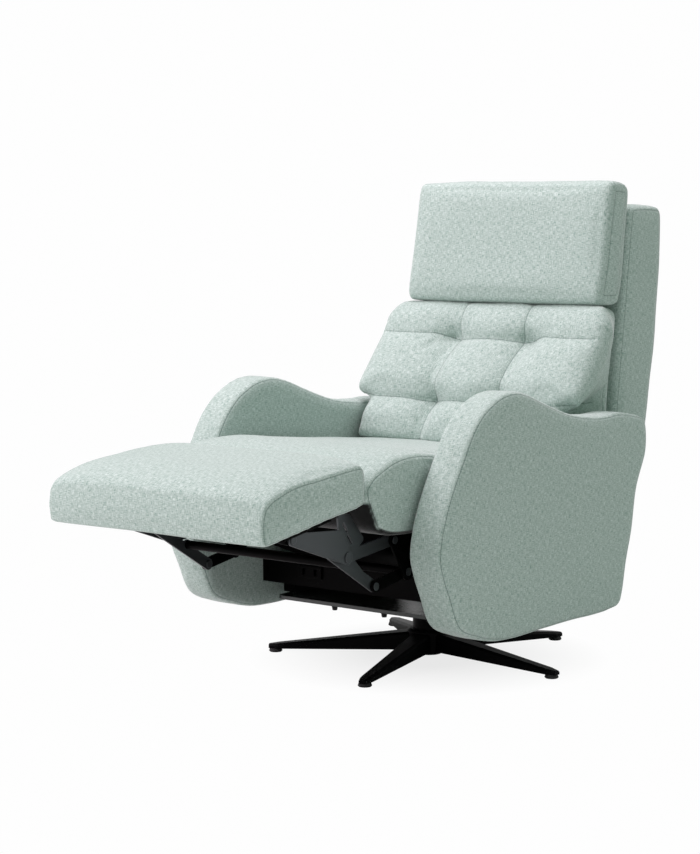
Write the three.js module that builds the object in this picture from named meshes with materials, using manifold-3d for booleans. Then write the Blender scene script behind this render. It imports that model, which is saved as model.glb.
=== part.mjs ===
// A swivel recliner on a star base, upright with its footrest out, in millimetres.
// +X is the sitter's left, +Y is the rear and +Z is up. Places are measured from the
// floor and from the swivel axis, and the finished chair is centred on its own length.

import * as THREE from 'three';
import { mergeVertices } from 'three/addons/utils/BufferGeometryUtils.js';
import Module from 'manifold-3d';

const wasm = await Module();
wasm.setup();

// Gaps, and the fineness of round and padded pieces
const clearance = 0.3;
const overrun = 5;
const weldTolerance = 1e-4;
const roundSegments = 40;
const glideSegments = 20;
const tubeSegments = 18;
const boltSegments = 12;
const cornerSegments = 4;
const discSteps = 16;
const edgeSteps = 3;
const stripSteps = 4;
const armSteps = 56;
const padSteps = 36;
const seatSteps = 44;
const lumbarSteps = 48;
const headSteps = 34;
const shellSteps = 40;
const crownPower = 4;

// Swivel base
const leg = {
  count: 5, reach: 339, hubWidth: 46, tipWidth: 28, hubTop: 60, tipTop: 20, chamfer: 5, droop: 6, recess: 4,
};
const legStationShares = [0, 0.35, 0.7, 0.94, 1];
const legNoseShare = 0.55;
const legChamferShare = 0.4;
const firstLegAngle = THREE.MathUtils.degToRad(66.7);
const hub = { radius: 46, topRadius: 40, bottom: 12, height: 50 };
const glide = { radius: 15, height: 8, inset: 2 };
const hubCap = { radius: 36, height: 6 };
const column = { radius: 34, height: 61 };
const collar = { thickness: 5, height: 9, drop: 22 };
const race = { radius: 92, thickness: 5 };
const swivelPlate = { width: 230, thickness: 4, hole: 22 };

// Seat width, which the chassis, the deck and every cushion follow
const seatHalfWidth = 262;

// Chassis
const tray = { inset: 22, front: 232, rear: 246, thickness: 8, corner: 14 };
const stud = { radius: 7, rim: 2, height: 9, left: 44, right: -87, back: 9 };
const beam = { front: 238, depth: 50, bottom: 170, height: 50 };
const beamBracket = {
  width: 62, height: 26, thickness: 5, place: -140, drop: 4, slotWidth: 8, slotHeight: 14,
};
const rearBeam = { rear: 246, depth: 46 };
const rail = { width: 30, top: 216 };
const sidePlate = {
  top: 345, noseRadius: 14, noseRear: -300, rearRadius: 18,
  foot: 214, footRadius: 8, footFront: -118, margin: 5,
};

// Seat, deck, arms and the gap between them
const seatHem = 2;
const seat = {
  halfWidth: seatHalfWidth, rear: 195, front: 571, bottom: sidePlate.top - seatHem, height: 164,
  edge: 14, crown: 10, drawIn: 5,
};
const deck = { inset: 12, frontInset: 125, rearInset: 5, thickness: 22 };
const armGap = 13;
const arm = { thickness: 80, rear: 333, front: 465, bottom: 112, height: 501, edge: 15 };

// Back, lumbar cushion and head cushion
const lumbarInset = 6;
const lumbarDrop = 38;
const lumbar = {
  halfWidth: seatHalfWidth - lumbarInset, depth: 288, rest: 28.1,
  bottom: seat.bottom + seat.height - lumbarDrop, height: 293,
  edge: 16, crown: 10, backCrown: 24, drawIn: 8,
};
const tuft = { side: 87, depth: 56, width: 26, rise: 24 };
const tuftLowerShare = 0.259;
const tuftUpperShare = 0.734;
const tuftSeamShare = 0.42;
const tuftCrossShare = 0.38;
const tuftColumnShare = 1.3;
const headInset = 4;
const headLift = 14;
const head = {
  halfWidth: seatHalfWidth - headInset, depth: 122, lean: 17.9,
  bottom: lumbar.bottom + lumbar.height + headLift, height: 270,
  edge: 18, crown: 8, drawIn: 6,
};
const headHeelShare = 0.156;
const shellBottom = 262;
const shellDrop = 55;
const shell = {
  halfWidth: seatHalfWidth, rear: 558, front: 330, edge: 16,
  bottom: shellBottom, height: head.bottom + head.height - shellDrop - shellBottom,
};

// Footrest pad and board
const padOverhang = 5;
const pad = {
  halfWidth: seatHalfWidth + padOverhang, rear: 583, front: 889, bottom: 374, height: 120,
  edge: 15, crown: 20, drawIn: 7,
};
const board = { inset: 26, noseInset: 10, thickness: 5 };
const footBracket = { rear: -668, front: -806, flange: 34, flangeThickness: 3, tipRadius: 3 };

// Pivots of the linkage, seen from the side with the footrest out
const pivots = {
  liftArm: { y: -389, z: 262 },
  strap: { y: -489, z: 246 },
  bracket: { y: -706, z: 375 },
  slottedLink: { y: -435, z: 331 },
  crossing: { y: -584, z: 315 },
  fanLink: { y: -750, z: 370 },
};
const backPivot = { y: 262, z: 318 };
const backBracket = { radius: 11, bottom: 312, top: 424, lean: 1.4, flange: 32 };
const headMount = {
  drop: 9, reach: 69.7, place: 118, radius: 4.5, fall: 2,
  footHeight: 22, footThickness: 3, footWidth: 40, pin: 2.2, stubHead: 2,
  leafThickness: 4, flangeFront: 14, flangeRear: 40,
};

// Bars of the linkage, in planes side by side from the strap links outward
const bar = { thickness: 4, gap: 1.5, endRadius: 12, inset: 52 };
const tube = { radius: 9, wall: 1.6, rise: 9, along: 81 };
const pin = { radius: 5, headRadius: 8, headThickness: 2, slack: 3.4, studHead: 11 };
const slotted = { size: 80, cornerRadius: 7, slotReach: 9, slotRadius: 3 };
const fan = { crossingRadius: 14, cornerBack: -24, cornerUp: 46, cornerRadius: 10 };

// Corners and slots of the slotted link's head from the crossing, as shares of its size,
// and the slots' turn in half turns
const slottedCornerShares = [
  [-0.225, 0.975], [0.1, 0.95], [0.275, 0.75], [0.425, 0.55], [0.6, 0.375], [0.125, 0.05], [-0.15, 0.2],
];
const slottedSlotShares = [[-0.025, 0.725], [0.15, 0.425]];
const slotTurn = 0.7;

// How squarely a face looks outward, where its crown starts and where it is full
const crownFacingShares = [0.25, 0.9];

// Columns of the lumbar cushion either side of an upright seam, in seam widths
const seamColumnShares = [-1, -0.5, 0, 0.5, 1];

// Outlines, as shares of the way from rear to front and from bottom to top
const armShares = [
  [0.006, 0.8], [0, 0.675], [0.048, 0.503], [0.073, 0.327], [0.098, 0.2], [0.116, 0.07], [0.134, 0.012],
  [0.17, 0], [0.417, 0], [0.734, 0.004], [0.826, 0.036], [0.915, 0.096], [0.959, 0.222], [0.985, 0.305],
  [1, 0.387], [0.99, 0.501], [0.961, 0.625], [0.915, 0.754], [0.876, 0.854], [0.832, 0.924],
  [0.788, 0.962], [0.743, 0.988], [0.674, 1], [0.603, 0.982], [0.505, 0.93], [0.38, 0.874],
  [0.249, 0.85], [0.142, 0.856], [0.086, 0.844], [0.024, 0.822],
];
const padShares = [
  [0.012, 0.917], [0, 0.66], [0.008, 0.4], [0.03, 0.372], [0.5, 0.187], [0.95, 0.008],
  [0.978, 0.02], [0.993, 0.117], [1, 0.35], [0.98, 0.567], [0.935, 0.675], [0.814, 0.792],
  [0.67, 0.875], [0.477, 0.917], [0.281, 0.967], [0.127, 1], [0.04, 0.99],
];
const seatShares = [
  [0, 0.56], [0.03, 0.63], [0.176, 0.682], [0.418, 0.78], [0.645, 0.884], [0.777, 0.957], [0.868, 0.933],
  [0.933, 0.841], [0.975, 0.75], [1, 0.622], [0.993, 0.445], [0.975, 0.287], [0.952, 0.128],
  [0.907, 0.043], [0.846, 0.006], [0.78, 0], [0.4, 0], [0.02, 0], [0, 0.03], [0, 0.3],
];
const lumbarShares = [
  [0, 0.93], [0.03, 0.965], [0.284, 1], [0.347, 0.983], [0.425, 0.929], [0.575, 0.795], [0.779, 0.569],
  [0.895, 0.404], [0.944, 0.31], [0.937, 0.209], [0.965, 0.108], [1, 0.05], [0.972, 0.01],
  [0.874, 0], [0.5, 0], [0.207, 0], [0.15, 0.03], [0.12, 0.108], [0.085, 0.31], [0.063, 0.488],
  [0.039, 0.677], [0.014, 0.825],
];
const headShares = [
  [1, 0.06], [0.94, 0.012], [0.836, 0], [0.369, 0.006], [0.311, 0.026], [0.27, 0.074], [0.213, 0.156],
  [0, 0.807], [0, 0.941], [0.107, 0.985], [0.27, 0.998], [0.492, 1], [0.59, 0.981], [0.639, 0.933],
  [0.861, 0.385],
];
const shellShares = [
  [0.657, 0.972], [0.63, 0.994], [0.583, 1], [0.101, 1], [0.039, 0.994], [0.006, 0.972], [0, 0.926],
  [0.013, 0.831], [0.044, 0.704], [0.092, 0.578], [0.167, 0.451], [0.219, 0.357], [0.268, 0.285],
  [0.351, 0.189], [0.439, 0.08], [0.48, 0.018], [0.518, 0.003], [0.583, 0], [0.934, 0], [0.982, 0.005],
  [1, 0.025], [0.956, 0.23], [0.9, 0.409], [0.785, 0.675],
];

// The cushions and the hinge of the head cushion lie against the front face of the back shell
const shellRing = sideRing(shellShares, shell, shellSteps);
const shellFace = (z) => crossingAt(shellRing, 'z', z, 'y');
const lumbarRear = shellFace(lumbar.bottom + lumbar.height) - lumbar.rest;
const lumbarRing = sideRing(
  lumbarShares, { ...lumbar, rear: lumbarRear, front: lumbarRear - lumbar.depth }, lumbarSteps,
);
const headRear = shellFace(head.bottom + head.height * headHeelShare) + head.lean;
const headRing = sideRing(headShares, { ...head, rear: headRear, front: headRear - head.depth }, headSteps);
const headPivotHeight = head.bottom - headMount.drop;
const headPivot = { y: shellFace(headPivotHeight) - headMount.reach, z: headPivotHeight };

// Materials
const fabric = new THREE.MeshStandardMaterial({ color: 0xb9ccc6, roughness: 0.95, metalness: 0 });
const blackSteel = new THREE.MeshStandardMaterial({ color: 0x17181a, roughness: 0.45, metalness: 0.6 });
const greySteel = new THREE.MeshStandardMaterial({ color: 0x4a4e50, roughness: 0.4, metalness: 0.8 });
const paleTray = new THREE.MeshStandardMaterial({ color: 0xa9b0ae, roughness: 0.35, metalness: 0.2 });
const blackRubber = new THREE.MeshStandardMaterial({ color: 0x0d0d0e, roughness: 0.8, metalness: 0 });
const plywood = new THREE.MeshStandardMaterial({ color: 0x2a2725, roughness: 0.85, metalness: 0 });

const recliner = new THREE.Group();
const sides = { left: 1, right: -1 };

function place(name, geometry, material, position = [0, 0, 0], rotationZ = 0) {
  const mesh = new THREE.Mesh(geometry, material);
  mesh.name = name;
  mesh.position.set(...position);
  mesh.rotation.z = rotationZ;
  recliner.add(mesh);
  return mesh;
}

// Manifold solids, for joins and cuts
function solidOf(geometry) {
  const bare = geometry.index ? geometry.clone() : geometry;
  bare.deleteAttribute('normal');
  bare.deleteAttribute('uv');
  const merged = mergeVertices(bare, weldTolerance);
  return new wasm.Manifold(new wasm.Mesh({
    numProp: 3,
    vertProperties: new Float32Array(merged.attributes.position.array),
    triVerts: new Uint32Array(merged.index.array),
  }));
}

function geometryOf(solid) {
  const mesh = solid.getMesh();
  const geometry = new THREE.BufferGeometry();
  geometry.setAttribute('position', new THREE.BufferAttribute(new Float32Array(mesh.vertProperties), 3));
  geometry.setIndex(new THREE.BufferAttribute(new Uint32Array(mesh.triVerts), 1));
  geometry.computeVertexNormals();
  return geometry;
}

function joined(...geometries) {
  return geometryOf(geometries.map(solidOf).reduce((whole, piece) => whole.add(piece)));
}

function cut(geometry, ...tools) {
  return geometryOf(tools.map(solidOf).reduce((rest, tool) => rest.subtract(tool), solidOf(geometry)));
}

// A box between named limits
function boxBetween(xLow, xHigh, yLow, yHigh, zLow, zHigh) {
  const geometry = new THREE.BoxGeometry(xHigh - xLow, yHigh - yLow, zHigh - zLow);
  geometry.translate((xLow + xHigh) / 2, (yLow + yHigh) / 2, (zLow + zHigh) / 2);
  return geometry;
}

// An upright turned piece from a profile of [radius, height] pairs
function turned(profile, segments = roundSegments) {
  const points = profile.map(([radius, height]) => new THREE.Vector2(radius, height));
  const geometry = new THREE.LatheGeometry(points, segments);
  geometry.rotateX(Math.PI / 2);
  return geometry;
}

// A turned piece lying along X, from a profile of [radius, x] pairs, at a place in the side view
function turnedAcross(profile, place, segments = boltSegments) {
  const geometry = turned(profile, segments);
  geometry.rotateY(Math.PI / 2);
  geometry.translate(0, place.y, place.z);
  return geometry;
}

// A solid that runs along X with a side-view shape
function extrudedAcross(shape, xLow, xHigh) {
  const geometry = new THREE.ExtrudeGeometry(shape, {
    depth: xHigh - xLow, bevelEnabled: false, curveSegments: boltSegments,
  });
  const toSideView = new THREE.Matrix4().set(0, 0, 1, xLow, 1, 0, 0, 0, 0, 1, 0, 0, 0, 0, 0, 1);
  geometry.applyMatrix4(toSideView);
  return geometry;
}

// The tight outline round a set of discs in the side view, as [y, z] points
function outlineRound(discs) {
  const points = discs.flatMap(({ y, z, radius }) => Array.from({ length: discSteps }, (_, step) => {
    const angle = (step / discSteps) * 2 * Math.PI;
    return [y + radius * Math.cos(angle), z + radius * Math.sin(angle)];
  }));
  points.sort((a, b) => a[0] - b[0] || a[1] - b[1]);
  const turn = (o, a, b) => (a[0] - o[0]) * (b[1] - o[1]) - (a[1] - o[1]) * (b[0] - o[0]);
  const half = (list) => {
    const chain = [];
    for (const point of list) {
      while (chain.length > 1 && turn(chain.at(-2), chain.at(-1), point) <= 0) chain.pop();
      chain.push(point);
    }
    return chain.slice(0, -1);
  };
  return [...half(points), ...half(points.reverse())];
}

function shapeFrom(points, holes = []) {
  const shape = new THREE.Shape(points.map(([y, z]) => new THREE.Vector2(y, z)));
  for (const { y, z, radius } of holes) {
    const path = new THREE.Path();
    path.absarc(y, z, radius, 0, 2 * Math.PI, true);
    shape.holes.push(path);
  }
  return shape;
}

// A flat bar or plate round its discs, between two x values on one side of the chair
function barAcross(discs, holes, plane, thickness = bar.thickness) {
  return extrudedAcross(shapeFrom(outlineRound(discs), holes), plane, plane + thickness);
}

// Everything on the right is the mirror image of the left
function mirrored(geometry) {
  const copy = geometry.clone();
  copy.scale(-1, 1, 1);
  const index = copy.index ? copy.index.array : null;
  if (index) {
    for (let corner = 0; corner < index.length; corner += 3) {
      [index[corner], index[corner + 1]] = [index[corner + 1], index[corner]];
    }
    return copy;
  }
  const merged = mergeVertices(stripped(copy));
  for (let corner = 0; corner < merged.index.array.length; corner += 3) {
    const corners = merged.index.array;
    [corners[corner], corners[corner + 1]] = [corners[corner + 1], corners[corner]];
  }
  return merged;
}

function stripped(geometry) {
  geometry.deleteAttribute('normal');
  geometry.deleteAttribute('uv');
  return geometry;
}

function placeBothSides(name, geometry, material) {
  place(`${name}_left`, geometry, material);
  place(`${name}_right`, mirrored(geometry), material);
}

// A side-view outline from shares, as evenly spaced points with their outward directions
function sideRing(shares, { rear, front, bottom, height }, count) {
  const corners = shares.map(([along, up]) => new THREE.Vector3(
    THREE.MathUtils.lerp(rear, front, along),
    bottom + height * up,
    0,
  ));
  const curve = new THREE.CatmullRomCurve3(corners, true, 'centripetal');
  const points = curve.getSpacedPoints(count).slice(0, count);
  const area = points.reduce((sum, point, index) => {
    const next = points[(index + 1) % count];
    return sum + point.x * next.y - next.x * point.y;
  }, 0);
  if (area < 0) points.reverse();
  return points.map((point, index) => {
    const along = points[(index + 1) % count].clone().sub(points[(index + count - 1) % count]).normalize();
    return { y: point.x, z: point.y, outY: along.y, outZ: -along.x };
  });
}

// A closed solid through rings of points; each ring is one closed line round the X axis
function skinned(rings) {
  const count = rings[0].length;
  const positions = rings.flat(2);
  const faces = [];
  for (let ring = 0; ring < rings.length - 1; ring += 1) {
    for (let step = 0; step < count; step += 1) {
      const here = ring * count + step;
      const beside = ring * count + ((step + 1) % count);
      faces.push(here, beside + count, here + count, here, beside, beside + count);
    }
  }
  const lastStart = (rings.length - 1) * count;
  const contour = rings.at(-1).map(([, y, z]) => new THREE.Vector2(y, z));
  for (const [a, b, c] of THREE.ShapeUtils.triangulateShape(contour, [])) {
    faces.push(lastStart + a, lastStart + b, lastStart + c);
  }
  const firstContour = rings[0].map(([, y, z]) => new THREE.Vector2(y, z));
  for (const [a, b, c] of THREE.ShapeUtils.triangulateShape(firstContour, [])) {
    faces.push(a, c, b);
  }
  const geometry = new THREE.BufferGeometry();
  geometry.setAttribute('position', new THREE.Float32BufferAttribute(positions, 3));
  geometry.setIndex(faces);
  geometry.computeVertexNormals();
  return geometry;
}

// The x places of the rings of a padded piece: its rounded edges and the columns between them
function columnPlaces(halfWidth, edge, middleColumns) {
  const rim = Array.from({ length: edgeSteps }, (_, step) => {
    const angle = (step / edgeSteps) * Math.PI / 2;
    return { x: halfWidth - edge + edge * Math.cos(angle), inset: edge * (1 - Math.sin(angle)) };
  });
  const inner = halfWidth - edge;
  const middle = middleColumns.map((share) => ({ x: inner * share, inset: 0 }));
  return [...rim.map(({ x, inset }) => ({ x: -x, inset })), ...middle, ...rim.reverse()];
}

// A padded piece: a side-view ring carried across X, with rounded edges, a crown on the faces
// that look along the given directions, corners drawn in, and dents pressed into the first face
function padded(ring, { halfWidth, edge, drawIn = 0 }, middleColumns, crowns = [], dent = () => 0) {
  const reach = crowns.map(({ toward }) => toward);
  const facing = (point, [y, z]) => {
    const share = THREE.MathUtils.clamp(point.outY * y + point.outZ * z, 0, 1);
    return THREE.MathUtils.smoothstep(share, ...crownFacingShares);
  };
  const faces = ring.map((point) => reach.map((toward) => facing(point, toward)));
  return skinned(columnPlaces(halfWidth, edge, middleColumns).map(({ x, inset }) => {
    const across = Math.abs(x) / halfWidth;
    return ring.map((point, index) => {
      const weights = faces[index];
      const rise = crowns.reduce((sum, { height }, face) => sum + height * weights[face], 0);
      const pressed = weights.length ? dent(x, point) * weights[0] : 0;
      const out = rise * (1 - across ** crownPower) - inset - pressed;
      const corner = weights.length ? 1 - Math.max(...weights) : 0;
      const narrowed = x * (1 - (drawIn / halfWidth) * corner);
      return [narrowed, point.y + point.outY * out, point.z + point.outZ * out];
    });
  }));
}

function evenColumns(count) {
  return Array.from({ length: count }, (_, step) => -1 + (2 * step) / (count - 1));
}

// Swivel base: a hub with tapered legs, its glides, column, collar, cap and lower race
function legGeometry() {
  const tip = leg.reach + glide.radius;
  const rings = legStationShares.map((share, index) => {
    const last = index === legStationShares.length - 1;
    const radius = share * tip;
    const taper = Math.min(share / legStationShares.at(-2), 1);
    const halfWidth = THREE.MathUtils.lerp(leg.hubWidth, leg.tipWidth, taper) / 2 * (last ? legNoseShare : 1);
    const top = THREE.MathUtils.lerp(leg.hubTop, leg.tipTop, taper) - (last ? leg.droop / 2 : 0);
    const bottom = THREE.MathUtils.lerp(hub.bottom + leg.recess, glide.height + clearance, taper);
    const chamfer = Math.min(leg.chamfer, (top - bottom) * legChamferShare);
    return [
      [radius, -halfWidth, bottom],
      [radius, halfWidth, bottom],
      [radius, halfWidth, top - chamfer],
      [radius, halfWidth - chamfer, top],
      [radius, -halfWidth + chamfer, top],
      [radius, -halfWidth, top - chamfer],
    ];
  });
  return skinned(rings);
}

function swivelBase() {
  const hubTop = hub.bottom + hub.height;
  const hubSolid = turned([
    [0, hub.bottom], [hub.radius, hub.bottom],
    [hub.radius, hubTop - leg.chamfer], [hub.topRadius, hubTop], [0, hubTop],
  ]);
  const legs = Array.from({ length: leg.count }, (_, index) => {
    const geometry = legGeometry();
    geometry.rotateZ(firstLegAngle + (index * 2 * Math.PI) / leg.count);
    return geometry;
  });
  place('star_base', joined(hubSolid, ...legs), blackSteel);

  for (let index = 0; index < leg.count; index += 1) {
    const angle = firstLegAngle + (index * 2 * Math.PI) / leg.count;
    const foot = turned([
      [0, 0], [glide.radius - glide.inset, 0], [glide.radius, glide.inset],
      [glide.radius - glide.inset, glide.height], [0, glide.height],
    ], glideSegments);
    const footPlace = [leg.reach * Math.cos(angle), leg.reach * Math.sin(angle), 0];
    place(`glide_${index + 1}`, foot, blackRubber, footPlace);
  }

  const capTop = hub.bottom - clearance;
  place('hub_cap', turned([
    [0, capTop - hubCap.height], [hubCap.radius - hubCap.height, capTop - hubCap.height],
    [hubCap.radius, capTop], [0, capTop],
  ]), blackRubber);

  const columnBottom = hubTop + clearance;
  const columnTop = columnBottom + column.height;
  place('column', turned([
    [0, columnBottom], [column.radius, columnBottom], [column.radius, columnTop], [0, columnTop],
  ]), blackSteel);

  const collarTop = columnTop - collar.drop;
  const collarInner = column.radius + clearance;
  const collarOuter = collarInner + collar.thickness;
  place('column_collar', turned([
    [collarInner, collarTop - collar.height], [collarOuter, collarTop - collar.height],
    [collarOuter, collarTop], [collarInner, collarTop], [collarInner, collarTop - collar.height],
  ]), greySteel);

  const raceBottom = columnTop + clearance;
  const raceTop = raceBottom + race.thickness;
  place('lower_race', turned([
    [0, raceBottom], [race.radius, raceBottom], [race.radius, raceTop], [0, raceTop],
  ]), greySteel);
  return raceTop;
}

// Chassis: swivel plate, tray, beams, rails, side plates and the deck of the seat
const armInner = seatHalfWidth + armGap;
const beamEnd = armInner - clearance;
const beamTop = beam.bottom + beam.height;
const innerPlane = seatHalfWidth - bar.inset;
const planes = [0, 1, 2, 3].map((index) => innerPlane + index * (bar.thickness + bar.gap));
const outerFace = (plane) => planes[plane] + bar.thickness;
const pinHole = (pivot, slack = clearance) => ({ ...pivot, radius: pin.radius + slack });
const disc = (pivot, radius) => ({ y: pivot.y, z: pivot.z, radius });

// A round cutter for a pin's hole through the bars of one plane
function holeCutter(pivot, plane) {
  const radius = pin.radius + clearance;
  const inner = planes[plane] - overrun;
  const outer = outerFace(plane) + overrun;
  return turnedAcross([[0, inner], [radius, inner], [radius, outer], [0, outer]], pivot);
}

function swivelPlatform(raceTop) {
  const plateBottom = raceTop + clearance;
  const plateTop = plateBottom + swivelPlate.thickness;
  const half = swivelPlate.width / 2;
  const hole = new THREE.Path();
  hole.absarc(0, 0, swivelPlate.hole, 0, 2 * Math.PI, true);
  const plateShape = new THREE.Shape([[-half, -half], [half, -half], [half, half], [-half, half]]
    .map(([x, y]) => new THREE.Vector2(x, y)));
  plateShape.holes.push(hole);
  place('swivel_plate', new THREE.ExtrudeGeometry(plateShape, {
    depth: swivelPlate.thickness, bevelEnabled: false, curveSegments: boltSegments,
  }), greySteel, [0, 0, plateBottom]);

  const trayBottom = plateTop + clearance;
  const { front, rear, corner } = tray;
  const halfWidth = seatHalfWidth - tray.inset;
  const trayShape = new THREE.Shape();
  trayShape.moveTo(-halfWidth + corner, -front);
  trayShape.lineTo(halfWidth - corner, -front);
  trayShape.absarc(halfWidth - corner, -front + corner, corner, -Math.PI / 2, 0);
  trayShape.lineTo(halfWidth, rear - corner);
  trayShape.absarc(halfWidth - corner, rear - corner, corner, 0, Math.PI / 2);
  trayShape.lineTo(-halfWidth + corner, rear);
  trayShape.absarc(-halfWidth + corner, rear - corner, corner, Math.PI / 2, Math.PI);
  trayShape.lineTo(-halfWidth, -front + corner);
  trayShape.absarc(-halfWidth + corner, -front + corner, corner, Math.PI, 1.5 * Math.PI);
  place('bottom_tray', new THREE.ExtrudeGeometry(trayShape, {
    depth: tray.thickness, bevelEnabled: false, curveSegments: cornerSegments,
  }), paleTray, [0, 0, trayBottom]);

  for (const side of Object.keys(sides)) {
    const top = trayBottom - clearance;
    place(`tray_stud_${side}`, turned([
      [0, top - stud.height], [stud.radius - stud.rim, top - stud.height], [stud.radius, top], [0, top],
    ], boltSegments), blackRubber, [stud[side], -tray.front + stud.back, 0]);
  }
  return trayBottom + tray.thickness;
}

function frame(trayTop) {
  const beamRear = -beam.front + beam.depth;
  place('front_beam', boxBetween(-beamEnd, beamEnd, -beam.front, beamRear, beam.bottom, beamTop), blackSteel);
  const rearBeamFront = rearBeam.rear - rearBeam.depth;
  place('rear_beam', boxBetween(
    -beamEnd, beamEnd, rearBeamFront, rearBeam.rear, beam.bottom, beamTop,
  ), blackSteel);

  const bracketFace = -beam.front - clearance;
  const bracketTop = beamTop - beamBracket.drop;
  const slots = [-1, 1].map((way) => {
    const middle = beamBracket.place + (way * beamBracket.width) / 4;
    const half = beamBracket.slotWidth / 2;
    const slotMiddle = bracketTop - beamBracket.height / 2;
    return boxBetween(
      middle - half, middle + half,
      bracketFace - beamBracket.thickness - overrun, bracketFace + overrun,
      slotMiddle - beamBracket.slotHeight / 2, slotMiddle + beamBracket.slotHeight / 2,
    );
  });
  place('beam_bracket', cut(boxBetween(
    beamBracket.place - beamBracket.width / 2, beamBracket.place + beamBracket.width / 2,
    bracketFace - beamBracket.thickness, bracketFace,
    bracketTop - beamBracket.height, bracketTop,
  ), ...slots), blackSteel);

  const railInner = outerFace(2) + clearance;
  placeBothSides('base_rail', boxBetween(
    railInner, railInner + rail.width,
    beamRear + clearance, rearBeamFront - clearance,
    trayTop + clearance, rail.top,
  ), blackSteel);
}

function sidePlates() {
  const footRear = rearBeam.rear - rearBeam.depth - 2 * sidePlate.footRadius;
  const upper = barAcross([
    disc(pivots.slottedLink, sidePlate.noseRadius),
    disc({ y: backPivot.y, z: sidePlate.top - sidePlate.rearRadius }, sidePlate.rearRadius),
    disc({ y: footRear, z: sidePlate.foot }, sidePlate.footRadius),
    disc({ y: sidePlate.footFront, z: sidePlate.foot }, sidePlate.footRadius),
  ], [], planes[2]);
  const nose = barAcross([
    disc(pivots.liftArm, bar.endRadius + sidePlate.margin),
    disc(pivots.slottedLink, sidePlate.noseRadius),
    disc({ y: sidePlate.noseRear, z: pivots.slottedLink.z - sidePlate.noseRadius }, sidePlate.noseRadius),
  ], [], planes[2]);
  const holes = [pivots.liftArm, pivots.slottedLink, backPivot].map((pivot) => holeCutter(pivot, 2));
  placeBothSides('side_plate', cut(joined(upper, nose), ...holes), blackSteel);
}

function seatAndDeck() {
  const deckBottom = sidePlate.top + clearance;
  const deckTop = deckBottom + deck.thickness;
  const deckHalf = seatHalfWidth - deck.inset;
  const deckFront = -seat.front + deck.frontInset;
  place('seat_deck', boxBetween(
    -deckHalf, deckHalf, deckFront, seat.rear - deck.rearInset, deckBottom, deckTop,
  ), plywood);
  const ring = sideRing(seatShares, { ...seat, front: -seat.front }, seatSteps);
  const cushion = padded(ring, seat, evenColumns(13), [{ toward: [0, 1], height: seat.crown }]);
  const pocket = boxBetween(
    -deckHalf - clearance, deckHalf + clearance,
    deckFront - clearance, seat.rear + overrun,
    seat.bottom - overrun, deckTop + clearance,
  );
  place('seat_cushion', cut(cushion, pocket), fabric);
}

function arms() {
  const ring = sideRing(armShares, { ...arm, front: -arm.front }, armSteps);
  const half = arm.thickness / 2;
  const panel = padded(ring, { halfWidth: half, edge: arm.edge }, [-0.5, 0.5]);
  panel.translate(armInner + half, 0, 0);
  placeBothSides('arm', panel, fabric);
}

// Where a ring's outline crosses a height or a depth, nearest the front or the floor
function crossingAt(ring, known, value, wanted) {
  const hits = ring.flatMap((point, index) => {
    const next = ring[(index + 1) % ring.length];
    const before = point[known] - value;
    const after = next[known] - value;
    if (before * after > 0 || before === after) return [];
    return [THREE.MathUtils.lerp(point[wanted], next[wanted], before / (before - after))];
  });
  return Math.min(...hits);
}

// Rivets that run along X through neighbouring plates
function rivet(pivot, xLow, xHigh, { innerHead = true, outerHead = true } = {}) {
  const profile = [];
  if (innerHead) {
    const face = xLow - clearance;
    profile.push([0, face - pin.headThickness], [pin.headRadius, face - pin.headThickness]);
    profile.push([pin.headRadius, face], [pin.radius, face]);
  } else {
    profile.push([0, xLow], [pin.radius, xLow]);
  }
  if (outerHead) {
    const face = xHigh + clearance;
    profile.push([pin.radius, face], [pin.headRadius, face]);
    profile.push([pin.headRadius, face + pin.headThickness], [0, face + pin.headThickness]);
  } else {
    profile.push([pin.radius, xHigh], [0, xHigh]);
  }
  return turnedAcross(profile, pivot);
}

// Back: padded shell with its brackets, lumbar cushion and the mounts of the head cushion
function tuftDent(x, { z }) {
  const bell = (distance, width) => Math.exp(-((distance / width) ** 2));
  const upright = bell(Math.abs(x) - tuft.side, tuft.width);
  const seams = [tuftLowerShare, tuftUpperShare].map((share) => lumbar.bottom + lumbar.height * share);
  const level = Math.max(...seams.map((seam) => bell(z - seam, tuft.rise)));
  const both = 1 - tuftSeamShare - tuftCrossShare;
  return tuft.depth * (tuftSeamShare * upright + tuftCrossShare * level + both * upright * level);
}

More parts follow.
